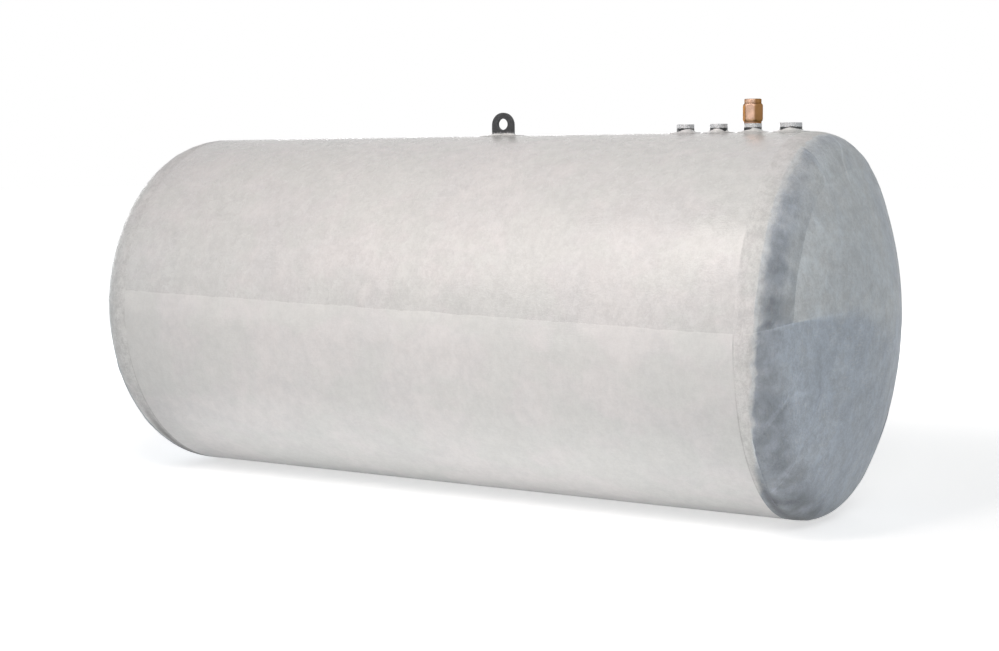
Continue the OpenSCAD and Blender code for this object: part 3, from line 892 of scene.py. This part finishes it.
def riser_nut(sizes, material):
    """Hexagon nut with eased arrises: its radius is the smooth least of the hexagon's, which is the
    half width over the cosine of the angle from a flat's middle, and that of a barrel turned to the
    bevels."""
    centre_x, _, foot, top = post("riser_nut")
    shoulder = span("riser_body")[1][0] - centre_x
    corner = sizes.nut_half_w / math.cos(math.pi / 6)
    tall = top - foot
    turn = whole_turn(192)[None, :]
    ends = np.array([0, 0.0004, 0.001, 0.002, 0.0035, 0.005, 0.007, 0.009, 0.011])
    z = np.concatenate([ends, np.linspace(0.014, tall - 0.014, 12), tall - ends[::-1]])[:, None]
    flat = sizes.nut_half_w / np.cos((turn - sizes.nut_turn) % (math.pi / 3) - math.pi / 6)
    close = np.minimum(z, tall - z)
    barrel = shoulder + (corner + 0.0006 - shoulder) * np.sqrt(np.clip(close / sizes.nut_bevel, 0, 1))
    radius = soft_least(flat, barrel + 0 * flat, 0.0007)
    radius = np.minimum(radius, flat - 0.0002) - 0.0004 * (1 - step(close, 0, 0.001))
    face = np.array([0.9, 0.5, 0.08])[:, None]
    bore = sizes.pipe_bore_r + 0 * turn
    radius = np.concatenate([
        bore + (radius[:1] - bore) * face[::-1], radius, bore + (radius[-1:] - bore) * face, bore, bore])
    z = np.concatenate([np.zeros((3, 1)), z, np.full((3, 1), tall), [[tall - 0.0005], [0.0005]]])
    points = around(centre_x, radius, turn, foot + z + 0 * turn)
    put_loop("riser_nut_turned", points, material, "brass", "riser_nut", 50)


def riser_ring(sizes, material):
    """Clamp ring on the nut: a closed profile with eased edges and a shallow groove, turned about
    its axis."""
    centre_x, tube_r, foot, top = post("riser_ring")
    bore_r, tall = sizes.pipe_bore_r, top - foot
    profile = np.array([
        (bore_r, 0.0), (tube_r - 0.0008, 0.0), (tube_r - 0.0002, 0.0002), (tube_r, 0.0008),
        (tube_r, 0.0030), (tube_r - 0.0005, 0.0034), (tube_r - 0.0005, 0.0040), (tube_r, 0.0044),
        (tube_r, tall - 0.0030), (tube_r - 0.0002, tall - 0.0020), (tube_r - 0.0009, tall - 0.0008),
        (tube_r - 0.0021, tall - 0.0002), (tube_r - 0.0035, tall), (bore_r + 0.0022, tall),
        (bore_r + 0.0012, tall - 0.0002), (bore_r + 0.0004, tall - 0.0008), (bore_r, tall - 0.0016),
    ])
    turn = whole_turn(128)[None, :]
    points = around(centre_x, profile[:, :1], turn, foot + profile[:, 1:] + 0 * turn)
    put_loop("riser_ring_turned", points, material, "brass", "riser_ring", 40)


# ---- finishes -----------------------------------------------------------------------------


class Finish:
    """One node material, or the world's nodes. Each method adds a node, joins what it is given and
    returns its output."""

    def __init__(self, name, kind="materials"):
        self.made = getattr(bpy.data, kind).new(name)
        self.made.use_nodes = True
        self.tree = self.made.node_tree
        self.tree.nodes.clear()

    def node(self, kind, inputs, output=0, **settings):
        """A node with its settings, whose inputs are joined or set."""
        made = self.tree.nodes.new(kind)
        for key, value in settings.items():
            setattr(made, key, value)
        for key, value in inputs.items():
            if isinstance(value, bpy.types.NodeSocket):
                self.tree.links.new(value, made.inputs[key])
            else:
                made.inputs[key].default_value = value
        return made.outputs[output] if len(made.outputs) else None

    def place(self, turn=(0, 0, 0), scale=(1, 1, 1), sheet=False):
        """Object coordinates, or the place on the unrolled sheet, turned and stretched."""
        if sheet:
            source = self.node("ShaderNodeUVMap", {}, uv_map="lay")
        else:
            source = self.node("ShaderNodeTexCoord", {}, "Object")
        return self.node("ShaderNodeMapping", {"Vector": source, "Rotation": turn, "Scale": scale})

    def height(self):
        """Height above the floor."""
        return self.node("ShaderNodeSeparateXYZ", {0: self.node("ShaderNodeTexCoord", {}, "Object")}, 2)

    def attribute(self, name):
        """A number that the mesh carries for each of its points."""
        return self.node("ShaderNodeAttribute", {}, "Fac", attribute_name=name)

    def noise(self, place, scale, detail=2.0, rough=0.5, twist=0.0):
        """Cloudy noise in 0..1."""
        inputs = {"Vector": place, "Scale": scale, "Detail": detail, "Roughness": rough,
                  "Distortion": twist}
        return self.node("ShaderNodeTexNoise", inputs, "Fac")

    def spread(self, value, low, high, to_low=0.0, to_high=1.0):
        """Carries low..high to to_low..to_high along a smooth step."""
        return self.node(
            "ShaderNodeMapRange",
            {"Value": value, "From Min": low, "From Max": high, "To Min": to_low, "To Max": to_high},
            interpolation_type="SMOOTHSTEP",
        )

    def sum(self, operation, first, second):
        """Arithmetic on two numbers."""
        return self.node("ShaderNodeMath", {0: first, 1: second}, operation=operation)

    def vector(self, operation, first, second=(0, 0, 0), output="Vector"):
        """Arithmetic on two vectors, whose result is a vector or a number."""
        return self.node("ShaderNodeVectorMath", {0: first, 1: second}, output, operation=operation)

    def blend(self, share, first, second, kind="MIX"):
        """Goes from the first colour to the second by a share, or works the two together in another
        way."""
        first, second = (
            (*v, 1.0) if not isinstance(v, bpy.types.NodeSocket) and len(v) == 3 else v
            for v in (first, second)
        )
        return self.node(
            "ShaderNodeMix", {0: share, 6: first, 7: second}, 2, data_type="RGBA", blend_type=kind
        )

    def bump(self, height, distance, below=None):
        """Tilts the surface by a height, on top of an earlier bump."""
        inputs = {"Height": height, "Distance": distance, "Strength": 1.0}
        if below is not None:
            inputs["Normal"] = below
        return self.node("ShaderNodeBump", inputs)

    def finish(self, colour, roughness, normal, **plain):
        """Closes the material with its shader. plain holds the inputs that are one value all
        over."""
        inputs = {"Base Color": colour, "Roughness": roughness, "Normal": normal}
        inputs.update({key.replace("_", " "): value for key, value in plain.items()})
        shader = self.node("ShaderNodeBsdfPrincipled", inputs)
        self.node("ShaderNodeOutputMaterial", {"Surface": shader})
        return self.made


def dimmed(colour, share):
    """A colour with its three values times a share."""
    return tuple(share * value for value in colour)


def laminate_finish(name, finish, speckle, wrinkle, matt=0.0, shine=0.5):
    """Glass-fibre laminate: warm over the vessel's side and cool over its ends, as the attribute
    cool says, the cool partly painted shade, as bright as the attribute tone says, which is partly
    painted shade on the ends and a painted highlight at the lap's edge, cloudy where the resin lies
    thick or thin, speckled, with chopped strands that lie round the tank and show through it, and a
    wrinkled, pebbled skin. speckle and wrinkle tell how strong these are, matt is added to the
    roughness, and shine is the strength of its gloss."""
    f = Finish(name)
    plain = f.place()
    cool = f.attribute("cool")
    cloud = f.noise(plain, 2.3, 4.0, 0.6)
    patch = f.noise(plain, 13.0, 5.0, 0.65, 0.4)
    share = f.sum("ADD", f.sum("MULTIPLY", cloud, 0.5), f.sum("MULTIPLY", patch, 0.5))
    thick = f.spread(share, 0.36, 0.64)
    warm = f.blend(thick, finish.laminate_thin, finish.laminate)
    grey = f.blend(thick, finish.ends_thin, finish.ends)
    blue = f.blend(thick, dimmed(finish.ends_blue, 0.86), finish.ends_blue)
    tint = f.spread(f.noise(f.place(scale=(1.0, 1.3, 1.3)), 4.6, 3.0, 0.55), 0.42, 0.58)
    warm = f.blend(tint, f.blend(0.5, warm, finish.laminate_green), warm)
    share = f.sum("ADD", f.spread(cool, 0.5, 1.0), f.spread(tint, 0.0, 1.0, 0.15, -0.15))
    colour = f.blend(f.spread(cool, 0.0, 0.5), warm, f.blend(share, grey, blue))
    strands = None
    for turn, long in ((1.57, 26.0), (1.15, 30.0), (2.05, 34.0)):
        lay = f.place((0, 0, turn), (long, 210.0, 1.0), sheet=True)
        line = f.spread(f.noise(lay, 1.0, 2.0, 0.55, 0.3), 0.57, 0.70)
        strands = line if strands is None else f.sum("MAXIMUM", strands, line)
    strands = f.sum("MULTIPLY", strands, f.spread(f.noise(plain, 11.0, 3.0), 0.35, 0.65, 0.2, 1.0))
    colour = f.blend(f.sum("MULTIPLY", strands, 0.16 * speckle), colour, (0.94, 0.95, 0.95))
    grain = f.noise(f.place(scale=(1.15, 1.0, 0.85)), 24.0, 4.0, 0.95)
    dots = f.spread(grain, 0.30, 0.70, 1.0 - 0.075 * speckle, 1.0 + 0.060 * speckle)
    tone = f.sum("MULTIPLY", f.attribute("tone"), dots)
    tone = f.node("ShaderNodeCombineColor", {0: tone, 1: tone, 2: tone})
    colour = f.blend(1.0, colour, tone, "MULTIPLY")
    ridge = f.noise(f.place(scale=(0.8, 1.0, 1.0)), 60.0, 3.0, 0.55, 1.3)
    ridge = f.sum("ABSOLUTE", f.sum("SUBTRACT", ridge, 0.5), 0.0)
    normal = f.bump(ridge, 0.0013 * wrinkle)
    normal = f.bump(f.noise(plain, 105.0, 3.0, 0.6), 0.0008 * wrinkle, normal)
    normal = f.bump(strands, 0.00015, normal)
    rough = f.spread(patch, 0.3, 0.7, 0.30 + matt, 0.22 + matt)
    return f.finish(colour, rough, normal, Specular_IOR_Level=shine)


def socket_finish(finish, number):
    """Socket steel: zinc at the top with a dirty rim, and black paint below it whose edge is
    ragged."""
    rim = post(f"socket_{number}")[3]
    f = Finish(f"socket_steel_{number}")
    plain = f.place()
    height = f.height()
    torn = f.noise(plain, 120.0, 3.0, 0.6)
    edge = f.sum("ADD", height, f.sum("MULTIPLY", torn, 0.006))
    painted = f.spread(edge, rim - 0.0090, rim - 0.0098)
    grime_and_shade = f.noise(plain, 260.0, 4.0, 0.7)
    zinc = f.blend(f.spread(grime_and_shade, 0.40, 0.62), dimmed(finish.zinc, 0.55), finish.zinc)
    lip = f.spread(height, rim - 0.0022, rim - 0.0008)
    lip = f.sum("MULTIPLY", lip, f.spread(grime_and_shade, 0.35, 0.6, 0.75, 0.15))
    zinc = f.blend(lip, zinc, (0.16, 0.165, 0.17))
    paint = f.blend(f.spread(grime_and_shade, 0.55, 0.75), dimmed(finish.paint, 0.6), (0.12, 0.125, 0.13))
    colour = f.blend(painted, zinc, paint)
    normal = f.bump(f.noise(plain, 300.0, 3.0, 0.6), 0.0003)
    normal = f.bump(painted, 0.0002, normal)
    metal = f.spread(painted, 0.0, 1.0, 0.2, 0.0)
    return f.finish(colour, f.spread(grime_and_shade, 0.3, 0.7, 0.34, 0.55), normal, Metallic=metal)


def paint_finish(finish):
    """Black painted plate with a grainy skin, light scuffs and dust of resin near its foot."""
    f = Finish("lug_paint")
    plain = f.place()
    grain = f.noise(plain, 210.0, 5.0, 0.7)
    scuff = f.spread(f.noise(plain, 85.0, 4.0, 0.7), 0.60, 0.74)
    height = f.sum("SUBTRACT", f.height(), f.sum("MULTIPLY", grain, 0.03))
    dust = f.spread(height, COAT_TOP - 0.001, COAT_TOP - 0.012)
    colour = f.blend(f.spread(grain, 0.42, 0.66), dimmed(finish.paint, 0.55), (0.055, 0.058, 0.064))
    colour = f.blend(f.sum("MULTIPLY", scuff, 0.35), colour, (0.22, 0.23, 0.24))
    colour = f.blend(dust, colour, (0.50, 0.51, 0.52))
    return f.finish(colour, f.spread(grain, 0.3, 0.7, 0.42, 0.62), f.bump(grain, 0.0007))


def brass_finish(finish, name, lift, piece, dark_edge_and_foot=1.0):
    """Turned brass that has been handled: rosy and brown clouds, a painted dark reflection on its
    arrises where it is widest, painted brown reflections down two sides, darker and golden brown
    towards its foot, fine turning marks and small dents. lift is its brightness, and the last
    argument the strength of the dark arrises and of the darker foot."""
    centre_x, wide, foot, _ = post(piece)
    f = Finish(name)
    plain = f.place()
    cloud = f.noise(plain, 42.0, 4.0, 0.6, 0.4)
    turned = f.noise(f.place(scale=(0.05, 0.05, 1.0)), 2600.0, 1.0)
    warm = tuple(min(1.0, v * lift) for v in finish.brass)
    colour = f.blend(f.spread(cloud, 0.36, 0.64), dimmed(warm, 0.72), warm)
    colour = f.blend(f.spread(f.noise(plain, 25.0, 2.0), 0.50, 0.72), colour, (0.74, 0.54, 0.44))
    from_axis = f.vector("MULTIPLY", f.vector("SUBTRACT", plain, (centre_x, 0, 0)), (1, 1, 0))
    away = f.sum("ADD", f.vector("LENGTH", from_axis, (0, 0, 0), "Value"), f.sum("MULTIPLY", cloud, 0.0016))
    # A painted dark reflection on the arrises, where the brass is widest
    dark_arris_reflection = f.spread(away, wide - 0.0016, wide + 0.0008, 0.0, 0.75 * dark_edge_and_foot)
    colour = f.blend(dark_arris_reflection, colour, (0.19, 0.105, 0.06))
    # Painted dark reflections, brown, down the two sides towards the camera's right and left
    aside = f.vector("DOT_PRODUCT", from_axis, (0.93, 0.37, 0), "Value")
    aside = f.sum("ADD", aside, f.sum("MULTIPLY", cloud, 0.012))
    colour = f.blend(f.spread(aside, 0.005, 0.017, 0.0, 0.92), colour, (0.24, 0.120, 0.04))
    colour = f.blend(f.spread(aside, -0.015, -0.020, 0.0, 0.85), colour, (0.17, 0.10, 0.06))
    # Darker and golden brown towards the foot
    height = f.sum("ADD", f.height(), f.sum("MULTIPLY", cloud, 0.010))
    darker_foot = f.spread(height, foot + 0.017, foot + 0.004, 0.0, 0.9 * dark_edge_and_foot)
    colour = f.blend(darker_foot, colour, (0.21, 0.115, 0.035))
    spots = f.spread(f.noise(plain, 160.0, 4.0, 0.7), 0.60, 0.76)
    colour = f.blend(f.sum("MULTIPLY", spots, 0.5), colour, (0.17, 0.095, 0.05))
    normal = f.bump(turned, 0.00006)
    normal = f.bump(f.noise(plain, 75.0, 2.0), 0.0009, normal)
    return f.finish(colour, f.spread(cloud, 0.3, 0.7, 0.38, 0.52), normal, Metallic=1.0,
                    Specular_Tint=(0.50, 0.34, 0.22, 1.0))


def vessel_finish(finish):
    """Primed steel plate under the coat, with mill scale and a bloom of rust."""
    f = Finish("vessel_primer")
    plain = f.place()
    scale = f.noise(plain, 7.0, 6.0, 0.65, 0.5)
    fine = f.noise(plain, 90.0, 5.0, 0.7)
    colour = f.blend(f.spread(scale, 0.4, 0.62), finish.primer, dimmed(finish.primer, 1.35))
    colour = f.blend(f.sum("MULTIPLY", f.spread(fine, 0.56, 0.72), 0.6), colour, (0.23, 0.10, 0.045))
    rough = f.spread(scale, 0.3, 0.7, 0.52, 0.74)
    return f.finish(colour, rough, f.bump(fine, 0.0004), Metallic=0.25)


# ---- studio ---------------------------------------------------------------------------------

# Softboxes: the name, place, the point aimed at, width and height in metres, watts and colour
SOFTBOXES = (
    ("glint", (-0.60, -2.50, 2.60), (0.65, -0.50, 0.87), 1.3, 2.2, 23.0, (1.0, 0.87, 0.83)),
    ("key", (0.30, -2.75, 3.30), (0.90, -0.50, 0.87), 0.5, 0.8, 31.0, (1.0, 0.90, 0.84)),
    ("front", (-0.2, -3.6, 1.4), (0.8, 0.0, 0.6), 1.6, 1.6, 3.5, (1.0, 0.98, 0.95)),
    ("high", (3.2, -4.0, 3.8), (0.8, 0.0, 0.6), 2.0, 1.5, 78.0, (0.985, 0.99, 0.99)),
    ("end", (5.2, 0.6, 2.1), (1.3, 0.0, 0.6), 2.2, 2.0, 9.0, (0.84, 0.95, 1.0)),
    ("card", (0.1, -1.1, 0.04), (0.1, -0.22, 0.30), 2.5, 0.5, 1.5, (1.0, 1.0, 1.0)),
    ("under", (0.15, -0.60, 0.02), (0.15, -0.25, 0.18), 2.4, 0.22, 1.1, (1.0, 1.0, 1.0)),
    ("left", (-5.4, -2.6, 2.0), (-1.0, 0.0, 0.6), 2.0, 2.0, 23.0, (0.68, 0.88, 1.0)),
    ("back", (-2.2, 4.8, 1.0), (-0.2, 0.0, 0.6), 4.0, 1.4, 140.0, (0.98, 0.99, 1.0)),
    ("far_end", (-5.4, 1.6, 1.5), (-1.3, 0.0, 0.6), 2.0, 1.6, 34.0, (1.0, 1.0, 1.0)),
)
# Strength and colour of the light from all round, and how bright the floor glows at the tank
AMBIENT = 0.10
AMBIENT_COLOUR = (0.91, 0.96, 1.0, 1.0)
FLOOR_GLOW = 0.62
# Half the floor's width, and its height, just clear of the tank's belly
FLOOR_HALF = 40.0
FLOOR_Z = -0.0004
# Camera: its place in metres, its turns in degrees about the upright, up or down and about its
# line of sight, and its focal length in millimetres for a sensor 36 mm wide
CAMERA_PLACE = (2.8309, -4.8443, 1.1517)
CAMERA_TURNS = (30.043, -6.084, -0.563)
CAMERA_LENS = 58.69


def show_only(f, lit, seen):
    """Mixes two shaders so that the second is what the camera, mirrors and glass see."""
    path = f.tree.nodes.new("ShaderNodeLightPath")
    direct = f.sum("MAXIMUM", path.outputs["Is Camera Ray"], path.outputs["Is Glossy Ray"])
    direct = f.sum("MAXIMUM", direct, path.outputs["Is Transmission Ray"])
    return f.node("ShaderNodeMixShader", {0: direct, 1: lit, 2: seen})


def stand(name, data, place, axes):
    """An object at a place, whose own axes are the columns of axes."""
    made = bpy.data.objects.new(name, data)
    made.matrix_world = Matrix.Translation(place) @ Matrix(axes.tolist()).to_4x4()
    bpy.context.scene.collection.objects.link(made)
    return made


def softbox(name, place, aim, wide, tall, watts, colour):
    """One rectangular lamp that looks at a point, and that the camera doesn't see."""
    lamp = bpy.data.lights.new("softbox_" + name, "AREA")
    lamp.shape = "RECTANGLE"
    lamp.size, lamp.size_y = wide, tall
    lamp.energy, lamp.color = watts, colour
    back = np.array(place) - np.array(aim)
    back = back / np.linalg.norm(back)
    side = np.cross((0.0, 0.0, 1.0), back)
    side = side / np.linalg.norm(side)
    holder = stand("softbox_" + name, lamp, place, np.stack([side, np.cross(back, side), back], 1))
    holder.visible_camera = False


def studio_floor():
    """Pale floor under the tank. Its glow is seen but lights nothing, so that it stays white round
    the tank's own soft shadow."""
    places = np.linspace(-FLOOR_HALF, FLOOR_HALF, 3)
    x, y = np.meshgrid(places, places, indexing="ij")
    points = np.stack([x, y, np.full_like(x, FLOOR_Z)], -1).reshape(-1, 3)
    mesh = bpy.data.meshes.new("studio_floor")
    mesh.from_pydata(points.tolist(), [], grid_cells(3, 3).tolist())
    floor = bpy.data.objects.new("studio_floor", mesh)
    bpy.context.scene.collection.objects.link(floor)
    f = Finish("floor_paint")
    grain = f.noise(f.place(), 3.0, 4.0)
    colour = f.blend(f.spread(grain, 0.3, 0.7), (0.79, 0.79, 0.79), (0.80, 0.80, 0.80))
    plain = f.node("ShaderNodeBsdfDiffuse", {"Color": colour})
    away = f.vector("LENGTH", f.place(scale=(0.8, 1.0, 0.0)), (0, 0, 0), "Value")
    strength = f.spread(away, 1.2, 4.5, FLOOR_GLOW, 1.0)
    glow = f.node("ShaderNodeEmission", {"Color": (1, 1, 1, 1), "Strength": strength})
    both = f.node("ShaderNodeAddShader", {0: plain, 1: glow})
    f.node("ShaderNodeOutputMaterial", {"Surface": show_only(f, plain, both)})
    mesh.materials.append(f.made)


def studio_world():
    """Even light from all round, with a white backdrop where it is seen."""
    f = Finish("studio_world", "worlds")
    lit = f.node("ShaderNodeBackground", {"Color": AMBIENT_COLOUR, "Strength": AMBIENT})
    seen = f.node("ShaderNodeBackground", {"Color": (1.0, 1.0, 1.0, 1.0), "Strength": 1.0})
    f.node("ShaderNodeOutputWorld", {"Surface": show_only(f, lit, seen)})
    bpy.context.scene.world = f.made


def studio_camera():
    """Camera in front of the socket end, a little above the tank and looking slightly down."""
    yaw, pitch, roll = (math.radians(v) for v in CAMERA_TURNS)
    ahead = np.array([-math.sin(yaw) * math.cos(pitch), math.cos(yaw) * math.cos(pitch), math.sin(pitch)])
    level = np.array([math.cos(yaw), math.sin(yaw), 0.0])
    above = np.cross(level, ahead)
    right = level * math.cos(roll) + above * math.sin(roll)
    up = above * math.cos(roll) - level * math.sin(roll)
    lens = bpy.data.cameras.new("studio_camera")
    lens.sensor_fit, lens.sensor_width, lens.lens = "HORIZONTAL", 36.0, CAMERA_LENS
    lens.clip_start, lens.clip_end = 0.1, 200.0
    bpy.context.scene.camera = stand(
        "studio_camera", lens, CAMERA_PLACE, np.stack([right, up, -ahead], 1))
    bpy.context.scene.view_settings.view_transform = "Standard"


# ---- operators --------------------------------------------------------------------------------


class TANK_OT_vessel(bpy.types.Operator):
    """Finish the steel vessel under the coat and the riser's body"""

    bl_idname = "tank.vessel"
    bl_label = "Finish steel vessel"

    def execute(self, context):
        finish = context.scene.tank_finish
        primer = vessel_finish(finish)
        for name in ("shell_course_left", "shell_course_right", "head_left", "head_right"):
            refinish(name, primer)
        refinish("riser_body", brass_finish(finish, "brass_body", lift=0.95, piece="riser_body"))
        return {"FINISHED"}


class TANK_OT_coat_sheets(bpy.types.Operator):
    """Lay the upper and lower laminate sheets on the cylinder"""

    bl_idname = "tank.coat_sheets"
    bl_label = "Lay coat sheets"

    def execute(self, context):
        sizes, finish = context.scene.tank_sizes, context.scene.tank_finish
        upper = laminate_finish("laminate_rough", finish, speckle=1.15, wrinkle=1.0)
        lower = laminate_finish(
            "laminate_smooth", finish, speckle=0.62, wrinkle=0.6, matt=0.06, shine=0.36)
        upper_sheet(sizes, upper)
        lower_sheet(sizes, lower)
        return {"FINISHED"}


class TANK_OT_end_coats(bpy.types.Operator):
    """Lay the laminate over both dished ends"""

    bl_idname = "tank.end_coats"
    bl_label = "Lay end coats"

    def execute(self, context):
        sizes, finish = context.scene.tank_sizes, context.scene.tank_finish
        material = laminate_finish(
            "laminate_ends", finish, speckle=1.9, wrinkle=1.8, matt=0.16, shine=0.16)
        end_coat(-1, sizes, material)
        end_coat(1, sizes, material)
        return {"FINISHED"}


class TANK_OT_knuckle_strips(bpy.types.Operator):
    """Lay the laminate strips round both knuckles"""

    bl_idname = "tank.knuckle_strips"
    bl_label = "Lay knuckle strips"

    def execute(self, context):
        sizes, finish = context.scene.tank_sizes, context.scene.tank_finish
        material = laminate_finish(
            "laminate_strips", finish, speckle=2.0, wrinkle=2.4, matt=0.12, shine=0.20)
        for side in (-1, 1):
            for number in range(len(STRIPS)):
                knuckle_strip(side, number, sizes, material)
        return {"FINISHED"}


class TANK_OT_collars(bpy.types.Operator):
    """Lay the collars round the sockets and the patch round the lug"""

    bl_idname = "tank.collars"
    bl_label = "Lay collars and patch"

    def execute(self, context):
        sizes, finish = context.scene.tank_sizes, context.scene.tank_finish
        material = laminate_finish("laminate_collars", finish, speckle=1.0, wrinkle=1.0)
        for number in SOCKETS:
            socket_collar(number, sizes, material)
        lug_patch(sizes, material)
        return {"FINISHED"}


class TANK_OT_sockets(bpy.types.Operator):
    """Turn the four sockets, with threads in the open ones"""

    bl_idname = "tank.sockets"
    bl_label = "Turn sockets"

    def execute(self, context):
        sizes, finish = context.scene.tank_sizes, context.scene.tank_finish
        for number in SOCKETS:
            core_r = sizes.large_core_r if number == SOCKETS[-1] else sizes.small_core_r
            threaded = number != RISER_SOCKET
            turned_socket(number, core_r, threaded, sizes, socket_finish(finish, number))
        return {"FINISHED"}


class TANK_OT_lug(bpy.types.Operator):
    """Make the lifting lug with its eased edges"""

    bl_idname = "tank.lug"
    bl_label = "Make lifting lug"

    def execute(self, context):
        lug_plate(context.scene.tank_sizes, paint_finish(context.scene.tank_finish))
        return {"FINISHED"}


class TANK_OT_riser(bpy.types.Operator):
    """Make the nut and the ring of the riser fitting"""

    bl_idname = "tank.riser"
    bl_label = "Make riser fitting"

    def execute(self, context):
        sizes, finish = context.scene.tank_sizes, context.scene.tank_finish
        riser_nut(sizes, brass_finish(finish, "brass_nut", lift=1.06, piece="riser_nut"))
        ring = brass_finish(finish, "brass_ring", lift=1.1, piece="riser_ring", dark_edge_and_foot=0.2)
        riser_ring(sizes, ring)
        return {"FINISHED"}


class TANK_OT_stage(bpy.types.Operator):
    """Set up the floor, the backdrop, the lamps and the camera"""

    bl_idname = "tank.stage"
    bl_label = "Set up studio"

    def execute(self, context):
        studio_floor()
        studio_world()
        for box in SOFTBOXES:
            softbox(*box)
        studio_camera()
        return {"FINISHED"}


STEPS = (
    TANK_OT_stage, TANK_OT_vessel, TANK_OT_coat_sheets, TANK_OT_end_coats, TANK_OT_knuckle_strips,
    TANK_OT_collars, TANK_OT_sockets, TANK_OT_lug, TANK_OT_riser,
)


class TANK_PT_panel(bpy.types.Panel):
    """Panel with the tank's sizes, finishes and steps"""

    bl_idname = "TANK_PT_panel"
    bl_label = "Heating oil tank"
    bl_space_type = "VIEW_3D"
    bl_region_type = "UI"
    bl_category = "Oil tank"

    def draw(self, context):
        scene = context.scene
        for title, group in (("Sizes", scene.tank_sizes), ("Finishes", scene.tank_finish)):
            box = self.layout.box()
            box.label(text=title)
            for name in group.bl_rna.properties.keys():
                if name not in ("rna_type", "name"):
                    box.prop(group, name)
        for made in STEPS:
            self.layout.operator(made.bl_idname)


CLASSES = (TankSizes, TankFinish, *STEPS, TANK_PT_panel)


def register():
    """Registers the classes and gives the scene its sizes and finishes."""
    for each in CLASSES:
        bpy.utils.register_class(each)
    bpy.types.Scene.tank_sizes = bpy.props.PointerProperty(type=TankSizes)
    bpy.types.Scene.tank_finish = bpy.props.PointerProperty(type=TankFinish)


def unregister():
    """Takes back what register did."""
    del bpy.types.Scene.tank_finish
    del bpy.types.Scene.tank_sizes
    for each in reversed(CLASSES):
        bpy.utils.unregister_class(each)


def main():
    """Makes every piece and the stage."""
    register()
    bpy.ops.tank.stage()
    bpy.ops.tank.vessel()
    bpy.ops.tank.coat_sheets()
    bpy.ops.tank.end_coats()
    bpy.ops.tank.knuckle_strips()
    bpy.ops.tank.collars()
    bpy.ops.tank.sockets()
    bpy.ops.tank.lug()
    bpy.ops.tank.riser()


if __name__ == "__main__":
    main()
